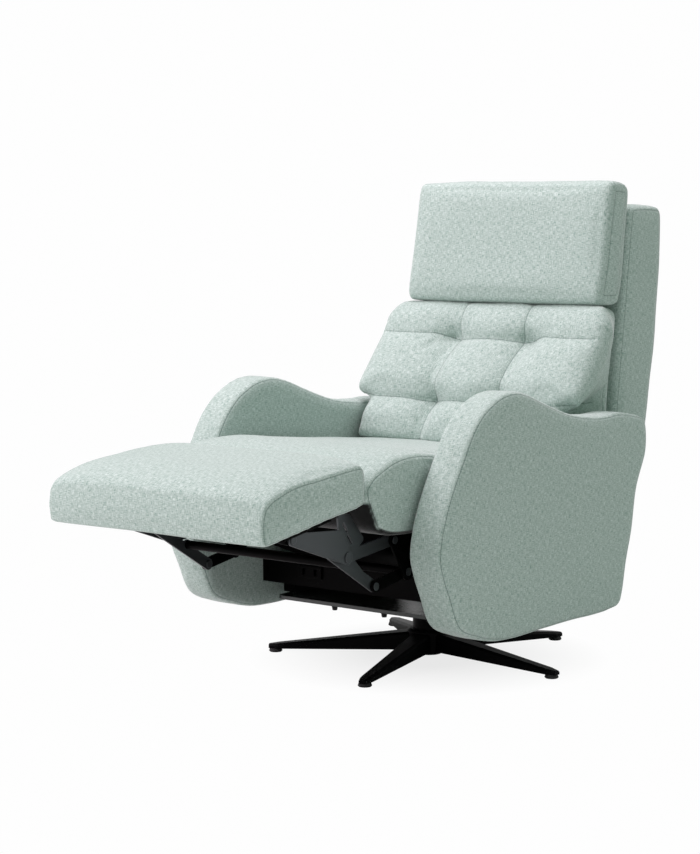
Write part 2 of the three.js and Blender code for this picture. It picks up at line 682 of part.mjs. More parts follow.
function back() {
  place('back_shell', padded(shellRing, shell, evenColumns(5)), fabric);

  const inner = lumbar.halfWidth - lumbar.edge;
  const seamWidth = tuft.width * tuftColumnShare;
  const seamColumns = seamColumnShares.map((share) => (tuft.side + share * seamWidth) / inner);
  const edgeColumn = (1 + seamColumns.at(-1)) / 2;
  const columns = [...seamColumns, edgeColumn, 1];
  const allColumns = [...columns.map((share) => -share).reverse(), 0, ...columns];
  place('lumbar_cushion', padded(lumbarRing, lumbar, allColumns, [
    { toward: [-1, 0], height: lumbar.crown },
    { toward: [1, 0], height: lumbar.backCrown },
  ], tuftDent), fabric);

  const faceY = (z) => shellFace(z) - clearance;
  const faceStrip = (low, high, thickness) => {
    const heights = Array.from({ length: stripSteps + 1 }, (_, step) => (
      THREE.MathUtils.lerp(low, high, step / stripSteps)
    ));
    const faceEdge = heights.map((z) => [faceY(z), z]);
    const frontEdge = heights.map((z) => [faceY(z) - thickness, z]).reverse();
    return shapeFrom([...faceEdge, ...frontEdge]);
  };
  const reachRadius = backBracket.radius;
  const upperZ = backBracket.top - reachRadius;
  const lowerZ = backBracket.bottom + reachRadius;
  const plate = barAcross([
    disc(backPivot, sidePlate.rearRadius),
    { y: faceY(lowerZ) - reachRadius - backBracket.lean, z: lowerZ, radius: reachRadius },
    { y: faceY(upperZ) - reachRadius - backBracket.lean, z: upperZ, radius: reachRadius },
  ], [pinHole(backPivot)], planes[3]);
  const flange = extrudedAcross(
    faceStrip(backBracket.bottom, backBracket.top, bar.thickness), planes[3], planes[3] + backBracket.flange,
  );
  placeBothSides('back_bracket', joined(plate, flange), blackSteel);
  placeBothSides('back_pin', rivet(backPivot, planes[2], outerFace(3)), greySteel);

  const mountInner = headMount.place;
  const mountOuter = mountInner + bar.thickness;
  const mountBar = extrudedAcross(shapeFrom(outlineRound([
    disc(headPivot, headMount.radius),
    { y: faceY(headPivot.z) - headMount.radius, z: headPivot.z - headMount.fall, radius: headMount.radius },
  ])), mountInner, mountOuter);
  const footTop = headPivot.z + headMount.radius - headMount.fall;
  const footBottom = footTop - headMount.footHeight;
  const foot = extrudedAcross(
    faceStrip(footBottom, footTop, headMount.footThickness),
    mountInner - headMount.footWidth / 2, mountOuter + headMount.footWidth / 2,
  );
  const leafOuter = mountOuter + bar.gap + headMount.leafThickness;
  const stubEnd = leafOuter + clearance + headMount.stubHead;
  const stub = turnedAcross([
    [0, mountInner], [headMount.pin, mountInner], [headMount.pin, leafOuter + clearance],
    [headMount.pin * 2, leafOuter + clearance], [headMount.pin * 2, stubEnd], [0, stubEnd],
  ], headPivot);
  placeBothSides('head_mount', joined(mountBar, foot, stub), blackSteel);
}

// Head cushion on two hinge leaves
function headRest() {
  const cushion = padded(headRing, head, evenColumns(9), [{ toward: [-1, 0], height: head.crown }]);
  place('head_cushion', cushion, fabric);

  const leafInner = headMount.place + bar.thickness + bar.gap;
  const leafOuter = leafInner + headMount.leafThickness;
  const flangeTop = Math.min(...headRing.map(({ z }) => z)) - clearance;
  const upright = extrudedAcross(shapeFrom(outlineRound([
    disc(headPivot, headMount.radius),
    {
      y: headPivot.y + headMount.flangeRear / 2,
      z: flangeTop - headMount.radius / 2,
      radius: headMount.radius / 2,
    },
  ]), [{ ...headPivot, radius: headMount.pin + clearance }]), leafInner, leafOuter);
  const flange = boxBetween(
    leafInner, leafInner + headMount.footWidth,
    headPivot.y - headMount.flangeFront, headPivot.y + headMount.flangeRear,
    flangeTop - headMount.leafThickness / 2, flangeTop,
  );
  const away = boxBetween(
    leafOuter, leafInner + headMount.footWidth + overrun,
    headPivot.y - headMount.pin * 3, headPivot.y + headMount.pin * 3,
    headPivot.z - headMount.radius, headPivot.z + headMount.pin * 2 + clearance,
  );
  placeBothSides('head_leaf', cut(joined(upright, flange), away), blackSteel);
}

// Footrest: pad, board, brackets and the bars that carry it
function footrest() {
  const ring = sideRing(padShares, { ...pad, rear: -pad.rear, front: -pad.front }, padSteps);
  const cushion = padded(ring, pad, evenColumns(13), [{ toward: [0, 1], height: pad.crown }]);
  place('footrest_pad', cushion, fabric);

  const under = (y, depth) => crossingAt(ring, 'y', y, 'z') - clearance - depth;
  const strip = (yRear, yFront, depthTop, depthBottom) => shapeFrom([
    [yFront, under(yFront, depthBottom)], [yRear, under(yRear, depthBottom)],
    [yRear, under(yRear, depthTop)], [yFront, under(yFront, depthTop)],
  ]);
  const boardRear = -pad.rear - board.inset;
  const boardFront = -pad.front + board.inset + board.noseInset;
  const boardHalf = pad.halfWidth - board.inset;
  place('footrest_board', extrudedAcross(
    strip(boardRear, boardFront, 0, board.thickness), -boardHalf, boardHalf,
  ), plywood);

  const flangeTop = board.thickness + 2 * clearance;
  const flangeBottom = flangeTop + footBracket.flangeThickness;
  const flange = extrudedAcross(
    strip(footBracket.rear, footBracket.front, flangeTop, flangeBottom),
    planes[1],
    planes[1] + footBracket.flange,
  );
  const tip = footBracket.tipRadius;
  const plate = barAcross([
    { y: footBracket.rear - tip, z: under(footBracket.rear - tip, flangeTop) - tip, radius: tip },
    { y: footBracket.front + tip, z: under(footBracket.front + tip, flangeTop) - tip, radius: tip },
    disc(pivots.bracket, bar.endRadius),
    disc(pivots.fanLink, bar.endRadius),
  ], [], planes[1]);
  const holes = [pivots.bracket, pivots.fanLink].map((pivot) => holeCutter(pivot, 1));
  placeBothSides('footrest_bracket', cut(joined(plate, flange), ...holes), blackSteel);

  placeBothSides('lift_arm', barAcross(
    [disc(pivots.liftArm, bar.endRadius), disc(pivots.strap, bar.endRadius)],
    [pinHole(pivots.liftArm), pinHole(pivots.strap)],
    planes[1],
  ), blackSteel);

  const strapWay = Math.atan2(pivots.bracket.z - pivots.strap.z, pivots.bracket.y - pivots.strap.y);
  const tubePlace = {
    y: pivots.strap.y + tube.along * Math.cos(strapWay) + tube.rise * Math.sin(strapWay),
    z: pivots.strap.z + tube.along * Math.sin(strapWay) - tube.rise * Math.cos(strapWay),
  };
  const strapBar = barAcross(
    [disc(pivots.strap, bar.endRadius), disc(pivots.bracket, bar.endRadius - bar.gap)],
    [pinHole(pivots.strap), pinHole(pivots.bracket)],
    planes[0],
  );
  const earPlace = { y: (tubePlace.y + pivots.strap.y) / 2, z: (tubePlace.z + pivots.strap.z) / 2 };
  const ear = barAcross([
    disc(tubePlace, tube.radius + tube.wall), disc(earPlace, bar.endRadius / 2),
  ], [], planes[0]);
  placeBothSides('strap_link', joined(strapBar, ear), greySteel);

  for (const [name, where, reach] of [
    ['torque_tube', pivots.liftArm, planes[1] - clearance],
    ['cross_tube', tubePlace, planes[0] - clearance],
  ]) {
    const bore = tube.radius - tube.wall;
    place(name, turnedAcross([
      [bore, -reach], [tube.radius, -reach], [tube.radius, reach], [bore, reach], [bore, -reach],
    ], where, tubeSegments), blackSteel);
  }

  const slottedBar = barAcross(
    [disc(pivots.slottedLink, bar.endRadius), disc(pivots.crossing, bar.endRadius)], [], planes[1],
  );
  const headPlace = ([along, up]) => ({
    y: pivots.crossing.y + slotted.size * along, z: pivots.crossing.z + slotted.size * up,
  });
  const slottedHead = barAcross(
    slottedCornerShares.map((share) => disc(headPlace(share), slotted.cornerRadius)), [], planes[1],
  );
  const slots = slottedSlotShares.map((share) => {
    const angle = slotTurn * Math.PI;
    const middle = headPlace(share);
    return barAcross([-1, 1].map((way) => ({
      y: middle.y + way * slotted.slotReach * Math.cos(angle),
      z: middle.z + way * slotted.slotReach * Math.sin(angle),
      radius: slotted.slotRadius,
    })), [], planes[1] - overrun, bar.thickness + 2 * overrun);
  });
  const slottedHole = holeCutter(pivots.slottedLink, 1);
  const studFace = outerFace(2) + clearance;
  const studEnd = studFace + pin.headThickness;
  const crossingStud = turnedAcross([
    [0, planes[1]], [pin.radius, planes[1]], [pin.radius, studFace],
    [pin.studHead, studFace], [pin.studHead, studEnd], [0, studEnd],
  ], pivots.crossing);
  const slottedLink = cut(joined(slottedBar, slottedHead, crossingStud), ...slots, slottedHole);
  placeBothSides('slotted_link', slottedLink, greySteel);

  const fanCorner = { y: pivots.crossing.y + fan.cornerBack, z: pivots.crossing.z + fan.cornerUp };
  placeBothSides('fan_link', barAcross([
    disc(pivots.fanLink, bar.endRadius),
    disc(pivots.crossing, fan.crossingRadius),
    disc(fanCorner, fan.cornerRadius),
  ], [pinHole(pivots.fanLink), pinHole(pivots.crossing, pin.slack)], planes[2]), greySteel);

  for (const [name, pivot, inner, outer, heads] of [
    ['lift_pin', pivots.liftArm, planes[1], outerFace(2), { innerHead: false }],
    ['slotted_pin', pivots.slottedLink, planes[1], outerFace(2), { innerHead: false }],
    ['strap_pin', pivots.strap, planes[0], outerFace(1), {}],
    ['bracket_pin', pivots.bracket, planes[0], outerFace(1), { outerHead: false }],
    ['fan_pin', pivots.fanLink, planes[1], outerFace(2), { innerHead: false }],
  ]) {
    placeBothSides(name, rivet(pivot, inner, outer, heads), greySteel);
  }
}

const raceTop = swivelBase();
const trayTop = swivelPlatform(raceTop);
frame(trayTop);
sidePlates();
seatAndDeck();
arms();
back();
headRest();
footrest();

const extent = new THREE.Box3().setFromObject(recliner);
recliner.position.y = -(extent.min.y + extent.max.y) / 2;

export default recliner;
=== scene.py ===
# %% [markdown]
# # A recliner on a star base, with its footrest out
# The chair is a steel linkage that carries seven upholstered pieces: a seat, two arms, a padded
# back, a lumbar cushion with four tufts, a head cushion and a footrest pad.
# The steel arrives finished in shape, so this file gives it its paint and wear, and makes every
# upholstered piece again as a swollen, sewn form. Lengths are in metres, with the floor at zero,
# +X to the sitter's left and +Y to the rear.

# %% Load the chair's frame
import bpy
import numpy as np
from mathutils import Matrix, Vector


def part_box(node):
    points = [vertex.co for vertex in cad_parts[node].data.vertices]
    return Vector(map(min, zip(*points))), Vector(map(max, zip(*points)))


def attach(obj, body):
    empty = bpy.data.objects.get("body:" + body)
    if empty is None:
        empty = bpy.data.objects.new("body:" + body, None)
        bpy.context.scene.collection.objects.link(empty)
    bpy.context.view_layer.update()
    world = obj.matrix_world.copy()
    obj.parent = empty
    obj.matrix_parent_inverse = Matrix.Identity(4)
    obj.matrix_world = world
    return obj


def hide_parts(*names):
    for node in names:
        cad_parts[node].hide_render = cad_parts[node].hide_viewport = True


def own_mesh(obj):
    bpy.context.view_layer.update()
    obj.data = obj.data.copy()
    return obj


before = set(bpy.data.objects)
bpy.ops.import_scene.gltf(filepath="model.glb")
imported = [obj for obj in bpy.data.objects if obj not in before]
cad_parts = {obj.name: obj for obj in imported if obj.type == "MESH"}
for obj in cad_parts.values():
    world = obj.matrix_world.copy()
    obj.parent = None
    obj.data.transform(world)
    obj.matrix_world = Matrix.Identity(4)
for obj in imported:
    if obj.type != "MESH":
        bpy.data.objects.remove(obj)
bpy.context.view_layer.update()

scene = bpy.context.scene
scene.view_settings.view_transform = "Standard"

# %% [markdown]
# ## Camera
# A product photograph is taken from a few metres off with a longish lens, so that near and far
# parts keep their true proportions. The lens could be guessed by eye, but here it was worked out
# from the chair's own straight edges and known widths: 37 degrees round to the sitter's left,
# and a little under 6 degrees down, from 4.5 m away.

# %% Camera at the photograph's angle
CAMERA_TURN, CAMERA_TILT = np.radians(37.349), np.radians(5.777)
camera_data = bpy.data.cameras.new("camera")
camera_data.sensor_fit = "VERTICAL"
camera_data.sensor_height, camera_data.lens = 36.0, 87.506
camera = bpy.data.objects.new("camera", camera_data)
scene.collection.objects.link(camera)
camera.location = (2.591, -3.513, 0.959)
camera.rotation_euler = (np.pi / 2 - CAMERA_TILT, 0.0, CAMERA_TURN)
scene.camera = camera
print("camera", tuple(round(v, 3) for v in camera.location), "lens", round(camera_data.lens, 1))

# %% [markdown]
# ## Small tools for materials
# The world and each finish below are a handful of nodes. Writing every link by hand hides the
# idea, so short helpers add a node, link outputs by name, do one sum, mix two colours, make
# noise, and start a reusable group with named sockets.

# %% Node helpers
def add(tree, kind, inputs=(), **settings):
    """Adds a node. inputs maps a socket's name or number to a value or to another node's output."""
    node = tree.nodes.new("ShaderNode" + kind)
    for name, value in settings.items():
        setattr(node, name, value)
    for socket, value in dict(inputs).items():
        if isinstance(value, bpy.types.NodeSocket):
            tree.links.new(value, node.inputs[socket])
        else:
            node.inputs[socket].default_value = value
    return node


def join(tree, node, **sockets):
    """Links outputs to a node's named sockets; an underscore stands for a space."""
    for name, value in sockets.items():
        tree.links.new(value, node.inputs[name.replace("_", " ")])


def calc(tree, operation, *values, clamp=False):
    """One Math node: the output of operation on one, two or three values or sockets."""
    return add(tree, "Math", enumerate(values), operation=operation, use_clamp=clamp).outputs[0]


def total(tree, values):
    """The sum of several values."""
    first, *others = values
    for value in others:
        first = calc(tree, "ADD", first, value)
    return first


def greatest(tree, values):
    """The largest of several values."""
    first, *others = values
    for value in others:
        first = calc(tree, "MAXIMUM", first, value)
    return first


def mixed(tree, factor, colour, other):
    """colour * (1 - factor) + other * factor."""
    return add(tree, "Mix", {"Factor": factor, 6: colour, 7: other}, data_type="RGBA").outputs[2]


def place(tree):
    """The point on the piece, in metres."""
    return add(tree, "TexCoord").outputs["Object"]


def noise(tree, vector, scale, detail, roughness, **more):
    """Soft noise round a half: scale bumps to each unit of vector, detail finer layers on top."""
    sockets = {"Vector": vector, "Scale": scale, "Detail": detail, "Roughness": roughness, **more}
    return add(tree, "TexNoise", sockets).outputs[0]


def group(title, inputs, outputs):
    """An empty shader group with named sockets; gives the group, its inputs and its output node."""
    tree = bpy.data.node_groups.new(title, "ShaderNodeTree")
    for name, value in inputs.items():
        kind = "NodeSocketColor" if isinstance(value, tuple) else "NodeSocketFloat"
        tree.interface.new_socket(name, in_out="INPUT", socket_type=kind).default_value = value
    for name, kind in outputs.items():
        tree.interface.new_socket(name, in_out="OUTPUT", socket_type="NodeSocket" + kind)
    return tree, tree.nodes.new("NodeGroupInput").outputs, tree.nodes.new("NodeGroupOutput")


def use(tree, members, inputs=()):
    """Places a group in a material with its own values, and gives its outputs."""
    return add(tree, "Group", inputs, node_tree=members).outputs


# %% [markdown]
# ## Studio
# The photograph has a white sweep and very soft light. A curved backdrop would do, but a plain
# floor with a white world behind it gives the same picture and never gets in the way of other
# views. The world fills the shadows evenly, one large lamp from the sitter's right models the
# forms, another hangs overhead, and the floor keeps the chair's shadow. The lamps are faintly
# pink and the world faintly green, so what turns from the lamps looks greener, as it does in the
# photograph. Only camera, mirror and glass rays see the world as pure white.

# %% Lamps and world
LAMP_TINT = (1.0, 0.85, 0.935)
WORLD_TINT, WHITE = (0.82, 1.0, 0.89, 1.0), (1.0, 1.0, 1.0, 1.0)
WORLD_STRENGTH, WHITE_STRENGTH = 0.40, 0.99


def lamp(name, spot, aim, size, power):
    """A square soft box at spot, turned so that its face looks at aim."""
    data = bpy.data.lights.new(name, "AREA")
    data.size, data.energy, data.color = size, power, LAMP_TINT
    box = bpy.data.objects.new(name, data)
    box.location = spot
    box.rotation_euler = (Vector(aim) - Vector(spot)).to_track_quat("-Z", "Y").to_euler()
    scene.collection.objects.link(box)
    return box


key = lamp("key_softbox", (-2.2, -3.0, 2.8), (0.0, 0.0, 0.5), 2.6, 145.0)
top = lamp("top_softbox", (-0.2, 0.2, 3.6), (0.0, 0.0, 0.5), 2.4, 95.0)

world = bpy.data.worlds.new("studio")
scene.world = world
world.use_nodes = True
sky = world.node_tree
rays = add(sky, "LightPath").outputs
direct = greatest(sky, [rays[f"Is {kind} Ray"] for kind in ("Camera", "Glossy", "Transmission")])
strength = add(sky, "MapRange", {
    "Value": direct, "To Min": WORLD_STRENGTH, "To Max": WHITE_STRENGTH}).outputs["Result"]
join(sky, sky.nodes["Background"], Strength=strength, Color=mixed(sky, direct, WORLD_TINT, WHITE))
print("lamps", key.name, top.name)

# %% [markdown]
# ## Woven cloth
# The cover is a plain weave of mottled mint and grey-green yarn: every thread changes shade along
# its length, so short light and dark dashes run both ways. A photograph of cloth would repeat and
# could not be exported as a rule, so the weave is worked out. The surface is looked at from the
# side it faces most, which gives two directions on it. Noise stretched along each direction
# is that thread's shade, and the two are averaged. A chequer of sines says which thread lies on
# top at each crossing, for the relief.

# %% Threads of the weave
def linear(*rgb):
    """A screen colour, 0 to 255, as light: ((c / 255 + 0.055) / 1.055)^2.4, or c / 3295 if dark."""
    lights = [((c / 255 + 0.055) / 1.055) ** 2.4 if c > 10 else c / 3295 for c in rgb]
    return (*lights, 1.0)


def faced_plane(tree):
    """Two coordinates on the surface: of x, y and z, the two across the axis it faces most."""
    where = add(tree, "TexCoord").outputs
    facing = add(tree, "VectorMath", {0: where["Normal"]}, operation="ABSOLUTE").outputs[0]
    nx, ny, nz = add(tree, "SeparateXYZ", {0: facing}).outputs
    x, y, z = add(tree, "SeparateXYZ", {0: where["Object"]}).outputs
    faces_x = calc(tree, "GREATER_THAN", nx, calc(tree, "MAXIMUM", ny, nz))
    faces_z = calc(tree, "GREATER_THAN", nz, calc(tree, "MAXIMUM", nx, ny))
    along = calc(tree, "MULTIPLY_ADD", calc(tree, "SUBTRACT", y, x), faces_x, x)
    up = calc(tree, "MULTIPLY_ADD", calc(tree, "SUBTRACT", y, z), faces_z, z)
    return along, up


def streaks(tree, across, along, thread, length, seed):
    """Noise one thread wide across and length threads long: a yarn's changing shade."""
    narrow = calc(tree, "DIVIDE", across, thread)
    long = calc(tree, "DIVIDE", calc(tree, "DIVIDE", along, thread), length)
    vector = add(tree, "CombineXYZ", {0: narrow, 1: long, 2: seed}).outputs[0]
    return noise(tree, vector, 1.0, 2.0, 0.65)


def about_half(tree, value, gain, level, clamp=False):
    """(value - 0.5) * gain + level."""
    return calc(tree, "MULTIPLY_ADD", calc(tree, "SUBTRACT", value, 0.5), gain, level, clamp=clamp)


# %% [markdown]
# Noise stays close to a half, so the average of the two threads is spread out before it chooses
# between the light and the dark yarn. A second, coarser noise keeps large faces from looking even.

# %% Weave group
PATCH_SHARE, YARN_CONTRAST, CHEQUER, FLUFF = 0.06, 3.1, 0.45, 0.8
weave, given, result = group("woven cloth", {
    "Light yarn": (1.0,) * 4, "Dark yarn": (0.5,) * 4, "Thread": 0.0013, "Dash": 5.0, "Mottle": 1.0,
}, {"Colour": "Color", "Height": "Float", "Roughness": "Float"})
along, up = faced_plane(weave)
warp = streaks(weave, along, up, given["Thread"], given["Dash"], 0.0)
weft = streaks(weave, up, along, given["Thread"], given["Dash"], 7.0)
average = add(weave, "Mix", {"Factor": 0.5, "A": warp, "B": weft}, data_type="FLOAT").outputs[0]
shade = about_half(weave, noise(weave, place(weave), 220.0, 2.0, 0.6), PATCH_SHARE, average)
contrast = calc(weave, "MULTIPLY", given["Mottle"], YARN_CONTRAST)
spread = about_half(weave, shade, contrast, 0.5, clamp=True)

half_turn = calc(weave, "DIVIDE", np.pi, given["Thread"])
wave_a, wave_b = (
    calc(weave, "SINE", calc(weave, "MULTIPLY", way, half_turn)) for way in (along, up))
chequer = calc(weave, "MULTIPLY", wave_a, wave_b)
over = calc(weave, "MULTIPLY_ADD", chequer, CHEQUER, 0.5, clamp=True)
round_a, round_b = (calc(weave, "ABSOLUTE", wave) for wave in (wave_a, wave_b))
threads = add(weave, "Mix", {
    "Factor": over, "A": round_a, "B": round_b}, data_type="FLOAT").outputs[0]
join(weave, result, Colour=mixed(weave, spread, given["Dark yarn"], given["Light yarn"]),
     Height=calc(weave, "MULTIPLY_ADD", shade, FLUFF, threads),
     Roughness=calc(weave, "MULTIPLY_ADD", spread, -0.08, 0.96))
print("weave group has", len(weave.nodes), "nodes")

# %% [markdown]
# ## Sewn seams
# Panels of cloth meet in a fine sunk line, with a row of tiny stitches beside it. Modelling a
# thread a third of a millimetre thick on every edge would cost more triangles than the chair.
# Each vertex instead carries its distance to the nearest seams, and the shader paints the crease's
# shade where that distance passes through zero, so it stays sharp between the vertices.

# %% Seam group
STITCH_WIDTH, STITCH_PAUSE, STITCH_RISE = 0.7, 0.3, 0.5
sewn, given, result = group("sewn seam", {
    "Distance": 1.0, "Width": 0.0015, "Stitch gap": 0.004, "Stitch length": 0.0045,
}, {"Line": "Float", "Height": "Float"})


def stripe(distance, width):
    """1 - |distance| / width, never below 0."""
    near = calc(sewn, "ABSOLUTE", distance)
    return calc(sewn, "SUBTRACT", 1.0, calc(sewn, "DIVIDE", near, width), clamp=True)


line = stripe(given["Distance"], given["Width"])
beside = calc(sewn, "SUBTRACT", given["Distance"], given["Stitch gap"])
row = stripe(beside, calc(sewn, "MULTIPLY", given["Width"], STITCH_WIDTH))
run = total(sewn, add(sewn, "SeparateXYZ", {0: place(sewn)}).outputs)
turn = calc(sewn, "FRACT", calc(sewn, "DIVIDE", run, given["Stitch length"]))
stitches = calc(sewn, "MULTIPLY", row, calc(sewn, "GREATER_THAN", turn, STITCH_PAUSE))
raised = calc(sewn, "SUBTRACT", calc(sewn, "MULTIPLY", stitches, STITCH_RISE), line)
join(sewn, result, Line=line, Height=raised)
print("seam group has", len(sewn.nodes), "nodes")

# %% [markdown]
# ## The upholstery material
# Cloth scatters light off its raised fibres, so it pales where it turns away: that is sheen,
# a constant of the shader. The colour, roughness and relief come from the weave and the seams,
# and the colour also holds painted shade: darker along each seam's line, near-black under the
# seat's nose. Vertices carry three distances, to the edge seam, to the upright and to the level
# seams, and a share of that painted shade under the nose, which only the seat has.

# %% Upholstery
def blank(name):
    """A new material with only a Principled shader; gives the material, its tree and the shader."""
    material = bpy.data.materials.new(name)
    material.use_nodes = True
    return material, material.node_tree, material.node_tree.nodes["Principled BSDF"]


SEAM_SHADE = 0.62
cloth, tree, shader = blank("mint_melange_cloth")
yarn = use(tree, weave, {
    "Light yarn": linear(200, 213, 208), "Dark yarn": linear(126, 150, 140),
    "Thread": 0.0012, "Dash": 9.0, "Mottle": 1.3,
})
stored = add(tree, "Attribute", attribute_name="seams").outputs["Vector"]
seams = [use(tree, sewn, {"Distance": distance})
         for distance in add(tree, "SeparateXYZ", {0: stored}).outputs]
# Painted shade: along each seam's line the cloth is mixed towards a deep mint, the shade of its
# sunk crease.
sunk = calc(tree, "MULTIPLY", greatest(tree, [seam["Line"] for seam in seams]), SEAM_SHADE)
relief = total(tree, [seam["Height"] for seam in seams])
colour = mixed(tree, sunk, yarn["Colour"], linear(70, 92, 84))
# Painted shade: near-black cloth under the seat's nose and below, where its front lies in shadow.
nose_shade_share = add(tree, "Attribute", attribute_name="nose_painted_shade").outputs["Fac"]
colour = mixed(tree, nose_shade_share, colour, linear(9, 10, 10))
fine = add(tree, "Bump", {"Strength": 0.35, "Distance": 0.0003, "Height": yarn["Height"]})
coarse = add(tree, "Bump", {
    "Strength": 0.6, "Distance": 0.0009, "Height": relief, "Normal": fine.outputs[0]})
join(tree, shader, Base_Color=colour, Roughness=yarn["Roughness"], Normal=coarse.outputs[0])
shader.inputs["Sheen Weight"].default_value = 0.45
shader.inputs["Sheen Roughness"].default_value = 0.35
shader.inputs["Specular IOR Level"].default_value = 0.25
print("material", cloth.name)

# %% [markdown]
# ## Steel, plastic and rubber
# The base and linkage are steel with a fine black powder coat: satin, slightly pebbled, rubbed a
# touch lighter on its edges, with a trace of dust on what faces up. Edges of bent plate are never
# knife sharp. Their meshes stay as they are, so the shader rounds them: the Bevel node gives
# the normal of a rounded edge, and where that differs from the flat one is an edge.

# %% Edge, grain and dust groups
edges, given, result = group(
    "rubbed edges", {"Radius": 0.0012, "Wear": 0.5}, {"Normal": "Vector", "Worn": "Float"})
round_edge = add(edges, "Bevel", {"Radius": given["Radius"]}, samples=4).outputs[0]
flat = add(edges, "NewGeometry").outputs["True Normal"]
same = add(edges, "VectorMath", {0: round_edge, 1: flat}, operation="DOT_PRODUCT").outputs["Value"]
patchy = calc(edges, "MULTIPLY", noise(edges, place(edges), 90.0, 4.0, 0.7), given["Wear"])
worn = calc(edges, "MULTIPLY", calc(edges, "SUBTRACT", 1.0, same), patchy)
join(edges, result, Normal=round_edge, Worn=calc(edges, "MULTIPLY", worn, 3.0, clamp=True))

grain, given, result = group(
    "pebbled coat", {"Size": 0.0012, "Unevenness": 0.06}, {"Height": "Float", "Change": "Float"})
spot = add(grain, "VectorMath", {0: place(grain)}, operation="SCALE")
join(grain, spot, Scale=calc(grain, "DIVIDE", 1.0, given["Size"]))
broad = calc(grain, "SUBTRACT", noise(grain, place(grain), 14.0, 4.0, 0.6), 0.5)
change = calc(grain, "MULTIPLY", broad, calc(grain, "MULTIPLY", given["Unevenness"], 2.0))
join(grain, result, Height=noise(grain, spot.outputs[0], 1.0, 2.0, 0.5), Change=change)

dust, given, result = group("settled dust", {"Amount": 0.1}, {"Mask": "Float"})
upward = add(dust, "SeparateXYZ", {0: add(dust, "TexCoord").outputs["Normal"]}).outputs[2]
lying = calc(dust, "POWER", calc(dust, "MAXIMUM", upward, 0.0), 3.0)
lying = calc(dust, "MULTIPLY", lying, noise(dust, place(dust), 60.0, 5.0, 0.7))
join(dust, result, Mask=calc(dust, "MULTIPLY", lying, given["Amount"], clamp=True))
print("groups", edges.name, grain.name, dust.name)

# %% [markdown]
# One recipe makes every hard finish: a base colour, a lighter colour on the rubbed edges, a film
# of dust, a pebbled relief and a roughness that wanders. Only the numbers change from the black
# powder coat to bright zinc, moulded tray or rubber.

# %% Hard finishes
DUST_COLOUR, DUST_ROUGHNESS = linear(150, 148, 142), 0.5


def hard_finish(name, colour, edge_colour, roughness, metallic=0.0, pebble=0.0012, relief=0.00005,
                uneven=0.06, wear=0.5, dusty=0.12, radius=0.0012, specular=0.5):
    """Colour mixed to edge_colour where worn and to dust where dusty; roughness wanders slowly."""
    material, tree, shader = blank(name)
    edge = use(tree, edges, {"Radius": radius, "Wear": wear})
    coat = use(tree, grain, {"Size": pebble, "Unevenness": uneven})
    film = use(tree, dust, {"Amount": dusty})
    base = mixed(tree, edge["Worn"], linear(*colour), linear(*edge_colour))
    base = mixed(tree, film["Mask"], base, DUST_COLOUR)
    rough = calc(tree, "ADD", coat["Change"], roughness)
    matt = calc(tree, "MULTIPLY", film["Mask"], DUST_ROUGHNESS)
    rough = calc(tree, "ADD", rough, matt, clamp=True)
    bumps = add(tree, "Bump", {
        "Strength": 1.0, "Distance": relief, "Height": coat["Height"], "Normal": edge["Normal"]})
    join(tree, shader, Base_Color=base, Roughness=rough, Normal=bumps.outputs[0])
    shader.inputs["Metallic"].default_value = metallic
    shader.inputs["Specular IOR Level"].default_value = specular
    return material


powder_black = hard_finish("powder_black", (4, 4, 5), (20, 21, 22), 0.46, dusty=0.02, specular=0.06)
linkage_black = hard_finish("linkage_black", (2, 2, 2), (18, 19, 19), 0.42,
                            wear=0.6, dusty=0.008, specular=0.035)
zinc_grey = hard_finish("zinc_grey", (70, 74, 76), (140, 144, 146), 0.38, metallic=0.75,
                        pebble=0.0008, relief=0.00003, uneven=0.12, wear=0.7, dusty=0.05)
tray_grey = hard_finish("tray_grey", (52, 58, 56), (120, 126, 124), 0.22,
                        relief=0.00002, uneven=0.08, wear=0.3, dusty=0.1, radius=0.002)
foot_rubber = hard_finish("foot_rubber", (17, 17, 18), (34, 34, 35), 0.78,
                          pebble=0.0006, relief=0.00008, wear=0.4, dusty=0.2, radius=0.001)
hard_finishes = (powder_black, linkage_black, zinc_grey, tray_grey, foot_rubber)
print("finishes", [material.name for material in hard_finishes])

# %% [markdown]
# ## Plywood
# The deck under the seat and the board under the footrest pad are stained plywood. Its grain is a
# stack of long rings seen almost edge on: bands along the board that noise pushes to and fro.

# %% Stained plywood
plywood, tree, shader = blank("stained_plywood")
drawn = add(tree, "Mapping", {"Vector": place(tree), "Scale": (3.0, 60.0, 60.0)}).outputs[0]
rings = noise(tree, drawn, 1.0, 6.0, 0.7, Distortion=0.6)
coat = use(tree, grain, {"Size": 0.0009, "Unevenness": 0.1})
bumps = add(tree, "Bump", {
    "Strength": 0.5, "Distance": 0.0002, "Height": calc(tree, "ADD", rings, coat["Height"])})
join(tree, shader, Base_Color=mixed(tree, rings, linear(36, 30, 26), linear(72, 60, 50)),
     Roughness=calc(tree, "ADD", coat["Change"], 0.72), Normal=bumps.outputs[0])
print("material", plywood.name)

# %% [markdown]
# The hard parts keep the shapes that they came with. Each takes its finish by how its name
# starts: rubber under the hub and feet and on the tray's studs, zinc on pins, bearing and link
# plates, black on the rest. The first row that fits counts, and the last fits every name. The soft
# parts are hidden further down, each by the cushion that replaces it.

